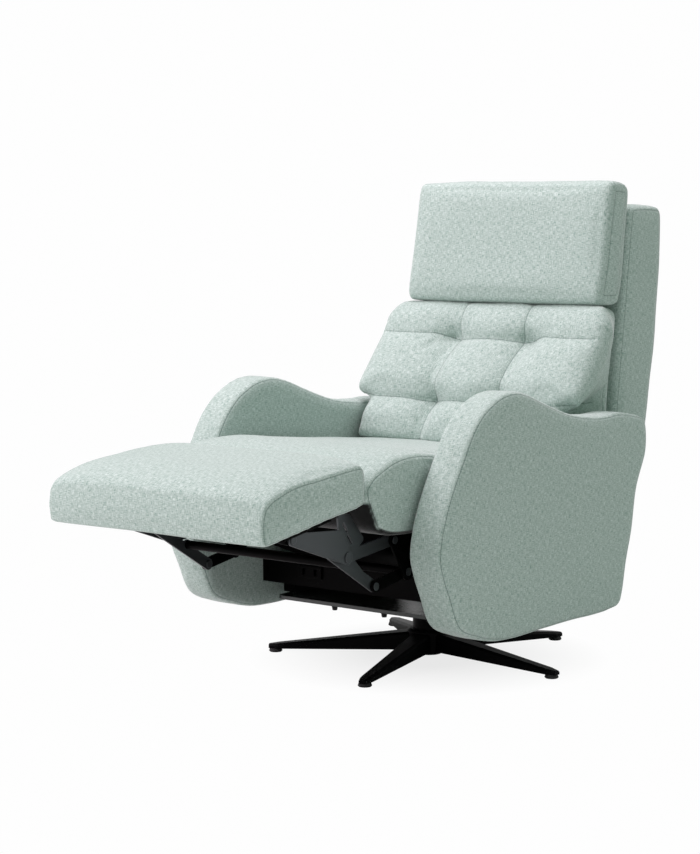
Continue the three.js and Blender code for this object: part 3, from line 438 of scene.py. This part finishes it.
# %% Finishes on the hard parts
finishes = [
    (foot_rubber, ("hub_cap", "tray_stud", "glide_")),
    (zinc_grey, ("column_collar", "lower_race", "swivel_plate", "strap_link", "slotted_link",
                 "fan_link", "lift_pin", "slotted_pin", "strap_pin", "bracket_pin", "fan_pin",
                 "back_pin")),
    (powder_black, ("star_base", "column")),
    (tray_grey, ("bottom_tray",)),
    (plywood, ("seat_deck", "footrest_board")),
    (cloth, ("seat_cushion", "arm_left", "arm_right", "back_shell", "lumbar_cushion",
             "head_cushion", "footrest_pad")),
    (linkage_black, ("",)),
]
for name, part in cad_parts.items():
    finish = next(finish for finish, starts in finishes if name.startswith(starts))
    part.data.materials.clear()
    part.data.materials.append(finish)
print(len(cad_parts), "hard and soft parts have a finish")

# %% [markdown]
# ## Shapes shared by the cushions
# Seen from the side, every upholstered piece is one closed line: an arm is a long wave, the seat
# has a rounded nose, the back leans. The line could be drawn as a Bezier curve, but a table of
# shares of the piece's own size is easier to read and to change. A smooth curve runs through
# the points, and is then cut into steps of equal length. The chair is centred on its length, and
# the sizes below are from the swivel, so shift is added to each length.

# %% Side outlines
REAR_BEAM_FROM_SWIVEL = 0.246
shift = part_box("rear_beam")[1].y - REAR_BEAM_FROM_SWIVEL


def outline(shares, rear, front, bottom, height, count=320):
    """Closed centripetal curve through the share points: even (y, z) and outward directions.

    Between neighbours 1 and 2 the curve is a cubic whose end slopes blend the three chords around
    it, each chord's weight being the square root of its length. Outward is the tangent turned a
    quarter turn clockwise on a curve that runs anticlockwise.
    """
    p1 = np.array(shares) * [front - rear, height] + [rear, bottom]
    area = np.sum(p1[:, 0] * np.roll(p1[:, 1], -1) - np.roll(p1[:, 0], -1) * p1[:, 1])
    p1 = p1 if area > 0 else p1[::-1]
    p0, p2, p3 = np.roll(p1, 1, 0), np.roll(p1, -1, 0), np.roll(p1, -2, 0)
    k0, k1, k2 = (np.sqrt(np.linalg.norm(b - a, axis=1, keepdims=True))
                  for a, b in ((p0, p1), (p1, p2), (p2, p3)))
    slope1 = ((p1 - p0) / k0 - (p2 - p0) / (k0 + k1) + (p2 - p1) / k1) * k1
    slope2 = ((p2 - p1) / k1 - (p3 - p1) / (k1 + k2) + (p3 - p2) / k2) * k1
    t = np.linspace(0, 1, 24, endpoint=False)[None, :, None]
    fine = ((2 * t**3 - 3 * t**2 + 1) * p1[:, None] + (t**3 - 2 * t**2 + t) * slope1[:, None]
            + (3 * t**2 - 2 * t**3) * p2[:, None] + (t**3 - t**2) * slope2[:, None]).reshape(-1, 2)
    fine = np.vstack([fine, fine[:1]])
    run = np.concatenate([[0], np.cumsum(np.linalg.norm(np.diff(fine, axis=0), axis=1))])
    steps = np.linspace(0, run[-1], count, endpoint=False)
    points = np.column_stack([np.interp(steps, run, fine[:, 0]), np.interp(steps, run, fine[:, 1])])
    tangent = np.roll(points, -2, 0) - np.roll(points, 2, 0)
    outward = np.column_stack([tangent[:, 1], -tangent[:, 0]])
    outward /= np.linalg.norm(outward, axis=1, keepdims=True)
    return points, outward


def mesh_object(name, points, faces):
    """A mesh object from an array of points and a list of faces."""
    mesh = bpy.data.meshes.new(name)
    mesh.from_pydata(points.tolist(), [], faces)
    mesh.update()
    made = bpy.data.objects.new(name, mesh)
    scene.collection.objects.link(made)
    return made


print("the swivel stands at y =", round(shift, 4), "m")

# %% [markdown]
# The outline is carried across the chair's width. Towards each side it shrinks along a quarter
# circle, which rounds the edge, and where a face looks the way of a crown it swells most at the
# middle. Two flat lids close the sides, and a Remesh gives even quads all over, because cloth
# needs threads of one length to swell evenly.

# %% Carry an outline across the width
RIM_STEPS = 14


def ease(t):
    """0 before 0, 1 after 1, and 3 t^2 - 2 t^3 between."""
    t = np.clip(t, 0, 1)
    return t * t * (3 - 2 * t)


def facing(outward, way):
    """0 to 1: how squarely each outline point looks along way, eased between a quarter and 0.9."""
    return ease((outward @ np.array(way) - 0.25) / 0.65)


def carried(line, outward, half, edge, crowns=(), widen=0.0, dent=None, slack=0.0, columns=90):
    """Grid of points: out = crown * (1 - across^6) - edge inset - slack, along outward.

    The edge inset is R - sqrt(R^2 - b^2), where R is the radius of the edge at that point of the
    outline and b is how far x has passed half - R. widen adds to the half width at each outline
    point. A dent goes straight back, along y, as far as the outline faces the first crown's way.
    """
    radius = np.broadcast_to(edge, len(outward)).astype(float)
    widest = radius.max()
    rim = half - widest + widest * np.sin(np.linspace(0, np.pi / 2, RIM_STEPS))
    inner = np.linspace(-(half - widest), half - widest, columns)[1:-1]
    x = np.concatenate([-rim[::-1], inner, rim])
    beyond = np.clip(np.abs(x)[:, None] - (half - radius), 0, radius)
    inset = radius - np.sqrt(radius**2 - beyond**2)
    across = np.abs(x) / half
    shares = [facing(outward, way) for way, height in crowns]
    rise = np.zeros(len(outward))
    for share, (way, height) in zip(shares, crowns):
        rise = rise + share * height
    out = rise[None, :] * (1 - across[:, None] ** 6) - inset - slack
    wide = x[:, None] * (1 + (np.broadcast_to(widen, len(outward)) - slack)[None, :] / half)
    y = line[None, :, 0] + outward[None, :, 0] * out
    if dent is not None:
        y = y + dent(x[:, None], line[None, :, 1]) * shares[0][None, :]
    z = line[None, :, 1] + outward[None, :, 1] * out
    points = np.stack([wide, y, z], axis=-1).reshape(-1, 3)
    rings, count = len(x), len(outward)
    r, c = np.meshgrid(np.arange(rings - 1), np.arange(count), indexing="ij")
    here, beside = r * count + c, r * count + (c + 1) % count
    faces = np.stack([here, beside, beside + count, here + count], axis=-1).reshape(-1, 4).tolist()
    faces += [list(range(count))[::-1], list(range((rings - 1) * count, rings * count))]
    return points, faces


# %% [markdown]
# ## Swelling
# A cushion is cloth pulled over foam that is a little too big for it. Blender's cloth does just
# that: with a small inner pressure and no gravity, the cover swells until its threads hold. Points
# near a sewn line are pinned, so the cloth bulges between the seams. How far a point may move is
# capped by the way it faces: freely in front, hardly at all where it rests on the frame.

# %% Read a mesh and apply its modifiers
def coordinates(mesh, attribute="co"):
    """All of a mesh's points, or with "normal" their normals, as an array."""
    data = np.empty(len(mesh.vertices) * 3, np.float32)
    mesh.vertices.foreach_get(attribute, data)
    return data.reshape(-1, 3).astype(float)


def settle(piece):
    """Applies every modifier on a piece."""
    graph = bpy.context.evaluated_depsgraph_get()
    graph.update()
    old = piece.data
    made = bpy.data.meshes.new_from_object(piece.evaluated_get(graph))
    piece.modifiers.clear()
    piece.data = made
    bpy.data.meshes.remove(old)


def smooth(piece, passes):
    """Adds a modifier that moves each point half way to its neighbours' middle, passes times."""
    modifier = piece.modifiers.new("smooth", "SMOOTH")
    modifier.factor, modifier.iterations = 0.5, passes


# %% [markdown]
# The simulation itself is short: sixteen frames are enough for a piece to find its shape. The
# cloth is stiff against stretch and soft in bending, so that it rounds out without creasing.

# %% Inflate a piece as cloth
FRAMES, QUICK_SHARE = 16, 0.8


def inflated(piece, held, pressure, loose):
    """The points of a piece after its cover swelled; held is each point's share of pinning."""
    pins = piece.vertex_groups.new(name="pins")
    for level, chosen in ((1.0, held >= 1.0), (0.5, (held >= 0.5) & (held < 1.0))):
        if chosen.any():
            pins.add(np.flatnonzero(chosen).tolist(), level, "REPLACE")
    puff = piece.modifiers.new("puff", "CLOTH")
    settings = puff.settings
    settings.quality, settings.mass, settings.air_damping = 5, 0.3, 1.0
    settings.tension_stiffness = settings.compression_stiffness = 15.0
    settings.bending_stiffness = 0.5
    settings.use_pressure, settings.uniform_pressure_force = True, pressure
    settings.effector_weights.gravity = 0.0
    settings.shrink_min = -loose
    if held.any():
        settings.vertex_group_mass = "pins"
    puff.collision_settings.use_collision = False
    puff.point_cache.frame_start, puff.point_cache.frame_end = 1, FRAMES
    for step in range(1, FRAMES + 1):
        scene.frame_set(step)
    graph = bpy.context.evaluated_depsgraph_get()
    moved = coordinates(piece.evaluated_get(graph).data)
    piece.modifiers.clear()
    piece.vertex_groups.clear()
    scene.frame_set(1)
    return moved


def swell(piece, voxel, caps, pinned=None, pressure=1.0, loose=0.0, calm=0, slide=0.0015):
    """Remeshes a piece, inflates it as cloth, and keeps each point within its cap.

    caps are the most, in metres, that a point may rise where it faces -x, +x, -y, +y, -z and +z.
    A point's own cap is their mean weighted by the squares of its normal's parts. It rises along
    its normal by cap * tanh(rise / cap), never sinks, and slides sideways by slide at most.
    loose is the share by which the cloth is larger than its shape, which lets it billow, and calm
    is the number of passes that smooth its wrinkles out afterwards.
    """
    remesh = piece.modifiers.new("remesh", "REMESH")
    remesh.mode, remesh.voxel_size, remesh.use_smooth_shade = "VOXEL", voxel, True
    smooth(piece, 1)
    settle(piece)
    rest, normals = coordinates(piece.data), coordinates(piece.data, "normal")
    low, high = np.clip(-normals, 0, 1) ** 2, np.clip(normals, 0, 1) ** 2
    cap = low @ np.array(caps[0::2]) + high @ np.array(caps[1::2])
    held = np.zeros(len(rest)) if pinned is None else pinned(rest, normals)
    moved = inflated(piece, held, pressure, loose)
    move = moved - rest
    rise = (move * normals).sum(1)
    sideways = move - normals * rise[:, None]
    length = np.linalg.norm(sideways, axis=1)
    limit = np.maximum(cap, 1e-5)
    final = rest + normals * (limit * np.tanh(np.maximum(rise, 0) / limit))[:, None]
    slid = slide * np.tanh(length / slide) / np.maximum(length, 1e-9)
    final = final + sideways * slid[:, None]
    piece.data.vertices.foreach_set("co", final.astype(np.float32).ravel())
    if calm:
        smooth(piece, calm)
    finer = piece.modifiers.new("finer", "SUBSURF")
    finer.levels = finer.render_levels = 1
    settle(piece)
    kept = np.linalg.norm(final - rest, axis=1).max()
    print(piece.name, "swelled by up to", round(float(rise.max()) * 1000, 1), "mm, kept to",
          round(float(kept) * 1000, 1), "mm;", len(piece.data.polygons), "faces")


# %% [markdown]
# ## Seams and small unevenness
# After swelling, the seam lines are pressed in and their distances stored for the shader. Foam
# and cloth are never dead flat either, so a few slow waves of about a millimetre, made of sines
# with fixed phases, keep large faces from looking machined.

# %% Distances, creases and waves
SIDE_BAND, AT_ONCE = 0.030, 20000


def inset_from(points, line, outward, half):
    """How far inside the outline each point lies, near the two sides at x = half and -half.

    It is minus the offset along the nearest outward direction, but never more than the distance
    beyond a plane 30 mm short of the side, so that a dent in the front doesn't count. The points
    are taken some thousands at once, to save memory.
    """
    found = np.empty(len(points))
    for start in range(0, len(points), AT_ONCE):
        part = points[start:start + AT_ONCE, 1:]
        nearest = np.argmin(((part[:, None, :] - line[None]) ** 2).sum(-1), axis=1)
        found[start:start + AT_ONCE] = -((part - line[nearest]) * outward[nearest]).sum(1)
    return np.minimum(found, np.abs(points[:, 0]) - (half - SIDE_BAND))


def side_seams(line, outward, half, *insets):
    """A function that gives the distances to seams round both sides, each so far inside."""
    def distances(points):
        inside = inset_from(points, line, outward, half)
        return {column: inside - inset for column, inset in enumerate(insets)}
    return distances


def bell(distance, width):
    """A smooth bump: 1 at zero distance, fading as e to the minus square of distance over width."""
    return np.exp(-((distance / width) ** 2))


def waves(points, seed, size, length=0.09):
    """Six sine waves of random fixed directions and phases, each length to three lengths long."""
    rng = np.random.default_rng(seed)
    ways = rng.normal(size=(6, 3))
    ways /= np.linalg.norm(ways, axis=1, keepdims=True)
    turns = 2 * np.pi / (length * rng.uniform(1, 3, 6))
    return size * np.sin(points @ (ways * turns[:, None]).T + rng.uniform(0, 6.28, 6)).mean(1) * 2


# %% [markdown]
# Two last steps are the same for every cushion: its seams are sewn, and it is dressed, which
# means that it gets its cloth and its place on a moving body, and the plain solid it stands for
# is hidden.

# %% Sew and dress
def sew(piece, distances, depth, width, seed, uneven=0.0009):
    """Presses each seam in by depth * bell(distance), adds slow waves, stores the distances."""
    mesh = piece.data
    points, normals = coordinates(mesh), coordinates(mesh, "normal")
    seams = np.ones((len(points), 3))
    push = waves(points, seed, uneven)
    for column, distance in distances(points).items():
        seams[:, column] = distance
        push = push - depth * bell(distance, width)
    moved = points + normals * push[:, None]
    mesh.vertices.foreach_set("co", moved.astype(np.float32).ravel())
    field = mesh.attributes.new("seams", "FLOAT_VECTOR", "POINT")
    field.data.foreach_set("vector", seams.astype(np.float32).ravel())
    mesh.shade_smooth()
    mesh.update()


def dress(piece, body, *nodes, fill):
    """Gives a soft piece its cloth and its place in the chair, and hides the parts it stands for.
    """
    piece.data.materials.clear()
    piece.data.materials.append(cloth)
    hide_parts(*nodes)
    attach(piece, body)
    points = coordinates(piece.data)
    print(piece.name, "from", points.min(0).round(3), "to", points.max(0).round(3))


# %% [markdown]
# ## Seat cushion
# The seat is one deep block of foam over the deck, rising to a rounded nose in front. Its top
# panel turns over the edge and is sewn to a side panel just below it, in a long curve. Under the
# nose and below, where the seat's front lies in shadow, the cloth is painted near-black as shade,
# stored as a share at each point.

# %% Seat cushion
SEAT_HALF, NOSE_SHADE_TOP = 0.262, 0.422
seat_shares = [
    (0, 0.56), (0.03, 0.63), (0.176, 0.682), (0.418, 0.78), (0.645, 0.884), (0.777, 0.957),
    (0.868, 0.933), (0.933, 0.841), (0.975, 0.75), (1, 0.622), (0.993, 0.445), (0.975, 0.287),
    (0.952, 0.128), (0.907, 0.043), (0.846, 0.006), (0.78, 0), (0.4, 0), (0.02, 0), (0, 0.03),
    (0, 0.3),
]
seat_line, seat_out = outline(seat_shares, 0.195 + shift, -0.571 + shift, 0.343, 0.164)
seat_crowns = [((0, 1), 0.004), ((-0.9, 0.43), 0.006)]
seat = mesh_object("seat_cover", *carried(
    seat_line, seat_out, SEAT_HALF, 0.012, seat_crowns, slack=0.001))
swell(seat, 0.0065, caps=(0.006, 0.006, 0.010, 0.001, 0.0, 0.007))
sew(seat, side_seams(seat_line, seat_out, SEAT_HALF, 0.006), depth=0.0010, width=0.004, seed=1)
at, way = coordinates(seat.data), coordinates(seat.data, "normal")
# Painted shade under the nose: faces looking forward or down, below 0.422 m, turn near-black.
looks_under = ease((np.maximum(-way[:, 1], -way[:, 2]) - 0.45) / 0.2)
nose_painted_shade = looks_under * ease((NOSE_SHADE_TOP - at[:, 2]) / 0.006)
field = seat.data.attributes.new("nose_painted_shade", "FLOAT", "POINT")
field.data.foreach_set("value", nose_painted_shade.astype(np.float32))
dress(seat, "chassis", "seat_cushion", fill=0.75)

# %% [markdown]
# ## Arms
# Each arm is a foam-covered panel, firm rather than soft. A band of cloth runs round its edge and
# is sewn to the two side panels along the whole wavy outline. One arm is made and the other is its
# mirror image; a mirrored mesh has its corners in reverse order, so its faces are flipped back.

# %% Arms
ARM_INNER, ARM_THICK = 0.275, 0.080
arm_shares = [
    (0.006, 0.8), (0, 0.675), (0.048, 0.503), (0.073, 0.327), (0.098, 0.2), (0.116, 0.07),
    (0.134, 0.012), (0.17, 0), (0.417, 0), (0.734, 0.004), (0.826, 0.036), (0.915, 0.096),
    (0.959, 0.222), (0.985, 0.305), (1, 0.387), (0.987, 0.501), (0.952, 0.625), (0.902, 0.754),
    (0.861, 0.854), (0.816, 0.924), (0.774, 0.962), (0.73, 0.988), (0.665, 1), (0.603, 0.982),
    (0.505, 0.93), (0.38, 0.874), (0.249, 0.85), (0.142, 0.856), (0.086, 0.844), (0.024, 0.822),
]
arm_line, arm_out = outline(
    arm_shares, 0.333 + shift, -0.465 + shift, 0.112, 0.501, count=440)
arm_left = mesh_object("arm_cover_left", *carried(
    arm_line, arm_out, ARM_THICK / 2, 0.012, slack=0.0005, columns=18))
swell(arm_left, 0.0062, caps=(0.002, 0.003, 0.003, 0.002, 0.002, 0.003))
sew(arm_left, side_seams(arm_line, arm_out, ARM_THICK / 2, 0.006),
    depth=0.0008, width=0.0035, seed=2, uneven=0.0007)
arm_right = arm_left.copy()
arm_right.data = arm_left.data.copy()
arm_right.name = arm_right.data.name = "arm_cover_right"
scene.collection.objects.link(arm_right)
arm_middle = ARM_INNER + ARM_THICK / 2
mirror = Matrix.Diagonal((-1, 1, 1, 1))
arm_left.data.transform(Matrix.Translation((arm_middle, 0, 0)))
arm_right.data.transform(Matrix.Translation((-arm_middle, 0, 0)) @ mirror)
arm_right.data.flip_normals()
dress(arm_left, "chassis", "arm_left", fill=0.9)
dress(arm_right, "chassis", "arm_right", fill=0.9)

# %% [markdown]
# ## Back shell
# Behind the cushions stands the padded frame of the back, a thick leaning slab with rounded
# corners that shows as a plain band behind the head cushion. It is firm, so it barely swells.

# %% Back shell
shell_shares = [
    (0.657, 0.972), (0.63, 0.994), (0.583, 1), (0.101, 1), (0.039, 0.994), (0.006, 0.972),
    (0, 0.926), (0.013, 0.831), (0.044, 0.704), (0.092, 0.578), (0.167, 0.451), (0.219, 0.357),
    (0.268, 0.285), (0.351, 0.189), (0.439, 0.08), (0.48, 0.018), (0.518, 0.003), (0.583, 0),
    (0.934, 0), (0.982, 0.005), (1, 0.025), (0.956, 0.23), (0.9, 0.409), (0.785, 0.675),
]
shell_line, shell_out = outline(shell_shares, 0.558 + shift, 0.330 + shift, 0.262, 0.723)
shell = mesh_object("back_cover", *carried(
    shell_line, shell_out, SEAT_HALF, 0.016, slack=0.0005))
swell(shell, 0.0072, caps=(0.003, 0.003, 0.0, 0.005, 0.0, 0.002))
sew(shell, side_seams(shell_line, shell_out, SEAT_HALF, 0.012), depth=0.0008, width=0.004, seed=3)
dress(shell, "back", "back_shell", fill=0.9)

# %% [markdown]
# ## Lumbar cushion
# Four buttons' worth of thread pull this cushion deep into its filling, and seams join them into a
# grid of nine soft biscuits. Pressing straight grooves would look stamped. So the grid is dented
# first, the cloth is pinned along it, and swelling then lifts every biscuit between its seams.
# A last small crease at the seam itself gives the fold where two biscuits meet.

# %% Grid of tufts
LUMBAR_HALF, LUMBAR_BOTTOM = 0.260, 0.459
TUFT_X, TUFT_LOW, TUFT_HIGH, TUFT_ARCH = 0.087, 0.5449, 0.6800, 0.008


def tuft_distances(x, z):
    """Signed distances to the upright seams at x = +-87 mm and to the two level seams.

    Each level seam arches by 8 mm between its tufts, and rises towards the sides of the cushion.
    """
    outer = ease((np.abs(x) - TUFT_X) / 0.07)
    arch = TUFT_ARCH * np.clip(1 - (x / TUFT_X) ** 2, 0, 1)
    low, high = TUFT_LOW + 0.009 * outer + arch, TUFT_HIGH + 0.016 * outer + arch
    return np.abs(x) - TUFT_X, np.abs(z - (low + high) / 2) - (high - low) / 2


def valley(distance, reach):
    """The gap between two round domes: (1 - t)^2, where t is distance over reach."""
    return (1 - np.clip(np.abs(distance) / reach, 0, 1)) ** 2


def tuft_dent(x, z):
    """Depth of the grid: about 20 mm along a seam, less at the top and the sides, 68 at a tuft."""
    upright, level = tuft_distances(x, z)
    above = ease((z - TUFT_HIGH) / 0.05)
    outer = ease((np.abs(x) - TUFT_X) / 0.09) * ease((z - 0.60) / 0.05)
    along_upright = (0.75 + 0.25 * bell(level, 0.045)) * (1 - 0.4 * above)
    along_level = (0.75 + 0.25 * bell(upright, 0.050)) * (1 - 0.6 * outer)
    pull = np.exp(-np.hypot(upright, level) / 0.020)
    return (0.028 * valley(upright, 0.085) * along_upright
            + 0.024 * valley(level, 0.068) * along_level + 0.016 * pull)


def lumbar_pins(points, normals):
    """1 within 3 mm of a seam on the front, fading by 6 mm."""
    upright, level = tuft_distances(points[:, 0], points[:, 2])
    near = np.minimum(np.abs(upright), np.abs(level))
    return np.clip((0.006 - near) / 0.003, 0, 1) * (normals[:, 1] < 0.2)


print("tufts at x =", (-TUFT_X, TUFT_X), "and z =", (TUFT_LOW, TUFT_HIGH))

# %% [markdown]
# Above the arms the front of the cushion spreads over them in two wings, so the outline is given
# extra half width there, eased in and out with height and depth. The level seams run out on the
# wings, and down each side a seam joins the front panel to the rear one.

# %% Lumbar outline, wings and seams
SIDE_SEAM_FROM, FRONT_TO, LEVEL_TO, LEVEL_HALF = 0.235, 0.298, 0.255, 0.284
lumbar_shares = [
    (0, 0.93), (0.03, 0.965), (0.235, 1), (0.295, 0.980), (0.360, 0.929), (0.479, 0.795),
    (0.583, 0.660), (0.711, 0.508), (0.810, 0.404), (0.885, 0.293), (0.930, 0.205),
    (0.960, 0.104), (0.985, 0.05), (0.972, 0.01), (0.874, 0), (0.5, 0), (0.207, 0), (0.15, 0.03),
    (0.12, 0.108), (0.085, 0.31), (0.063, 0.488), (0.039, 0.677), (0.014, 0.825),
]
lumbar_line, lumbar_out = outline(
    lumbar_shares, 0.352 + shift, 0.064 + shift, LUMBAR_BOTTOM, 0.304)
lumbar_edge = 0.012 + 0.020 * facing(lumbar_out, (-1, 0))
wings = 0.040 * ease((lumbar_line[:, 1] - 0.554) / 0.025) * ease((0.80 - lumbar_line[:, 1]) / 0.07)
wings *= ease((0.50 - lumbar_line[:, 0]) / 0.08)


def lumbar_seams(points):
    """A leaning seam down each side near the rear, and the two sets of the grid in front only."""
    x, y, z = points.T
    upright, level = tuft_distances(x, z)
    return {
        0: np.where(np.abs(x) > SIDE_SEAM_FROM, y - 0.463 - 0.07 * (z - 0.55), 1.0),
        1: np.where(y < FRONT_TO + shift, upright, 1.0),
        2: np.where((y < LEVEL_TO + shift) & (np.abs(x) < LEVEL_HALF), level, 1.0),
    }


print("wings reach", round(float(wings.max()) * 1000), "mm past each side")

# %% [markdown]
# The dented form is made, swelled with loose cloth under more pressure, and smoothed a little.
# When the head cushion tips forward its lower edge presses on this one.

# %% Lumbar cushion with four tufts
lumbar = mesh_object("lumbar_cover", *carried(
    lumbar_line, lumbar_out, LUMBAR_HALF, lumbar_edge, [((-1, 0), 0.002), ((1, 0), 0.022)],
    widen=wings, dent=tuft_dent, slack=0.001, columns=120))
swell(lumbar, 0.0058, caps=(0.010, 0.010, 0.024, 0.0, 0.001, 0.004), pinned=lumbar_pins,
      pressure=4.0, loose=0.03, calm=4)
sew(lumbar, lumbar_seams, depth=0.0020, width=0.0045, seed=4)
dress(lumbar, "back", "lumbar_cushion", fill=0.6)
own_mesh(lumbar)

# %% [markdown]
# ## Head cushion
# A plain boxed cushion: its front panel is sewn to a band round the sides, and its lower edge
# sags a little over the lumbar cushion.

# %% Head cushion
HEAD_HALF = 0.260
head_shares = [
    (1, 0.06), (0.94, 0.012), (0.836, 0), (0.369, 0.006), (0.311, 0.026), (0.27, 0.074),
    (0.213, 0.156), (0, 0.807), (0, 0.941), (0.107, 0.985), (0.27, 0.998), (0.492, 1),
    (0.59, 0.981), (0.639, 0.933), (0.861, 0.385),
]
head_line, head_out = outline(head_shares, 0.403 + shift, 0.274 + shift, 0.765, 0.272)
head_edge = 0.010 + 0.006 * facing(head_out, (-1, 0))
head = mesh_object("head_cover", *carried(
    head_line, head_out, HEAD_HALF, head_edge, [((-1, 0), 0.004)]))
swell(head, 0.0056, caps=(0.004, 0.004, 0.008, 0.0, 0.002, 0.003))
sew(head, side_seams(head_line, head_out, HEAD_HALF, 0.022), depth=0.0008, width=0.0035, seed=5)
dress(head, "head", "head_cushion", fill=0.7)

# %% [markdown]
# ## Footrest pad
# The pad is crowned on top and wraps down over the front of its board. Its side panel is sewn just
# below the edge, with a second seam 40 mm in that keeps its edge flat.

# %% Footrest pad
PAD_HALF = 0.269
pad_shares = [
    (0.012, 0.917), (0, 0.66), (0.008, 0.4), (0.03, 0.372), (0.5, 0.187), (0.95, 0.008),
    (0.978, 0.02), (0.993, 0.117), (1, 0.35), (0.98, 0.567), (0.935, 0.675), (0.814, 0.792),
    (0.67, 0.875), (0.477, 0.917), (0.281, 0.967), (0.127, 1), (0.04, 0.99),
]
pad_line, pad_out = outline(pad_shares, -0.583 + shift, -0.889 + shift, 0.374, 0.120)
pad = mesh_object("footrest_cover", *carried(
    pad_line, pad_out, PAD_HALF, 0.007, [((0, 1), 0.014)]))
swell(pad, 0.0052, caps=(0.006, 0.006, 0.008, 0.003, 0.0, 0.006))
sew(pad, side_seams(pad_line, pad_out, PAD_HALF, 0.005, 0.040), depth=0.0010, width=0.0035, seed=6)
dress(pad, "footrest", "footrest_pad", fill=0.7)

# %% [markdown]
# ## Floor
# The chair stands on a plain floor that the camera sees as white. A floor bright enough to be
# white by its own light would need harsh lamps, so the camera alone sees mostly a glow, with a
# fifth of the real floor mixed in near the swivel. That keeps a faint shadow by the feet. The
# share fades away with the distance, so that floor and backdrop meet without a line.

# %% Floor
FLOOR_HALF, FLOOR_DROP = 9, 0.0003
SHADOW_NEAR, SHADOW_FAR, GLOW_NEAR = 0.12, 0.40, 0.80
swivel_foot = (0, 0.166, 0)
corners = np.array([(x * FLOOR_HALF, y * FLOOR_HALF, -FLOOR_DROP)
                    for x, y in ((-1, -1), (1, -1), (1, 1), (-1, 1))])
floor = mesh_object("floor", corners, [[0, 1, 2, 3]])
material, tree, shader = blank("pale_floor")
tree.nodes.remove(shader)
matt = add(tree, "BsdfDiffuse", {"Color": linear(244, 244, 243)}).outputs[0]
glow = add(tree, "Emission", {"Strength": WHITE_STRENGTH}).outputs[0]
away = add(tree, "VectorMath", {0: place(tree), 1: swivel_foot}, operation="DISTANCE")
share = add(tree, "MapRange", {
    "Value": away.outputs["Value"], "From Min": SHADOW_NEAR, "From Max": SHADOW_FAR,
    "To Min": GLOW_NEAR, "To Max": 1.0}).outputs[0]
seen = calc(tree, "MULTIPLY", add(tree, "LightPath").outputs["Is Camera Ray"], share)
both = add(tree, "MixShader", {0: seen, 1: matt, 2: glow}).outputs[0]
join(tree, tree.nodes["Material Output"], Surface=both)
floor.data.materials.append(material)
print("floor", floor.name)
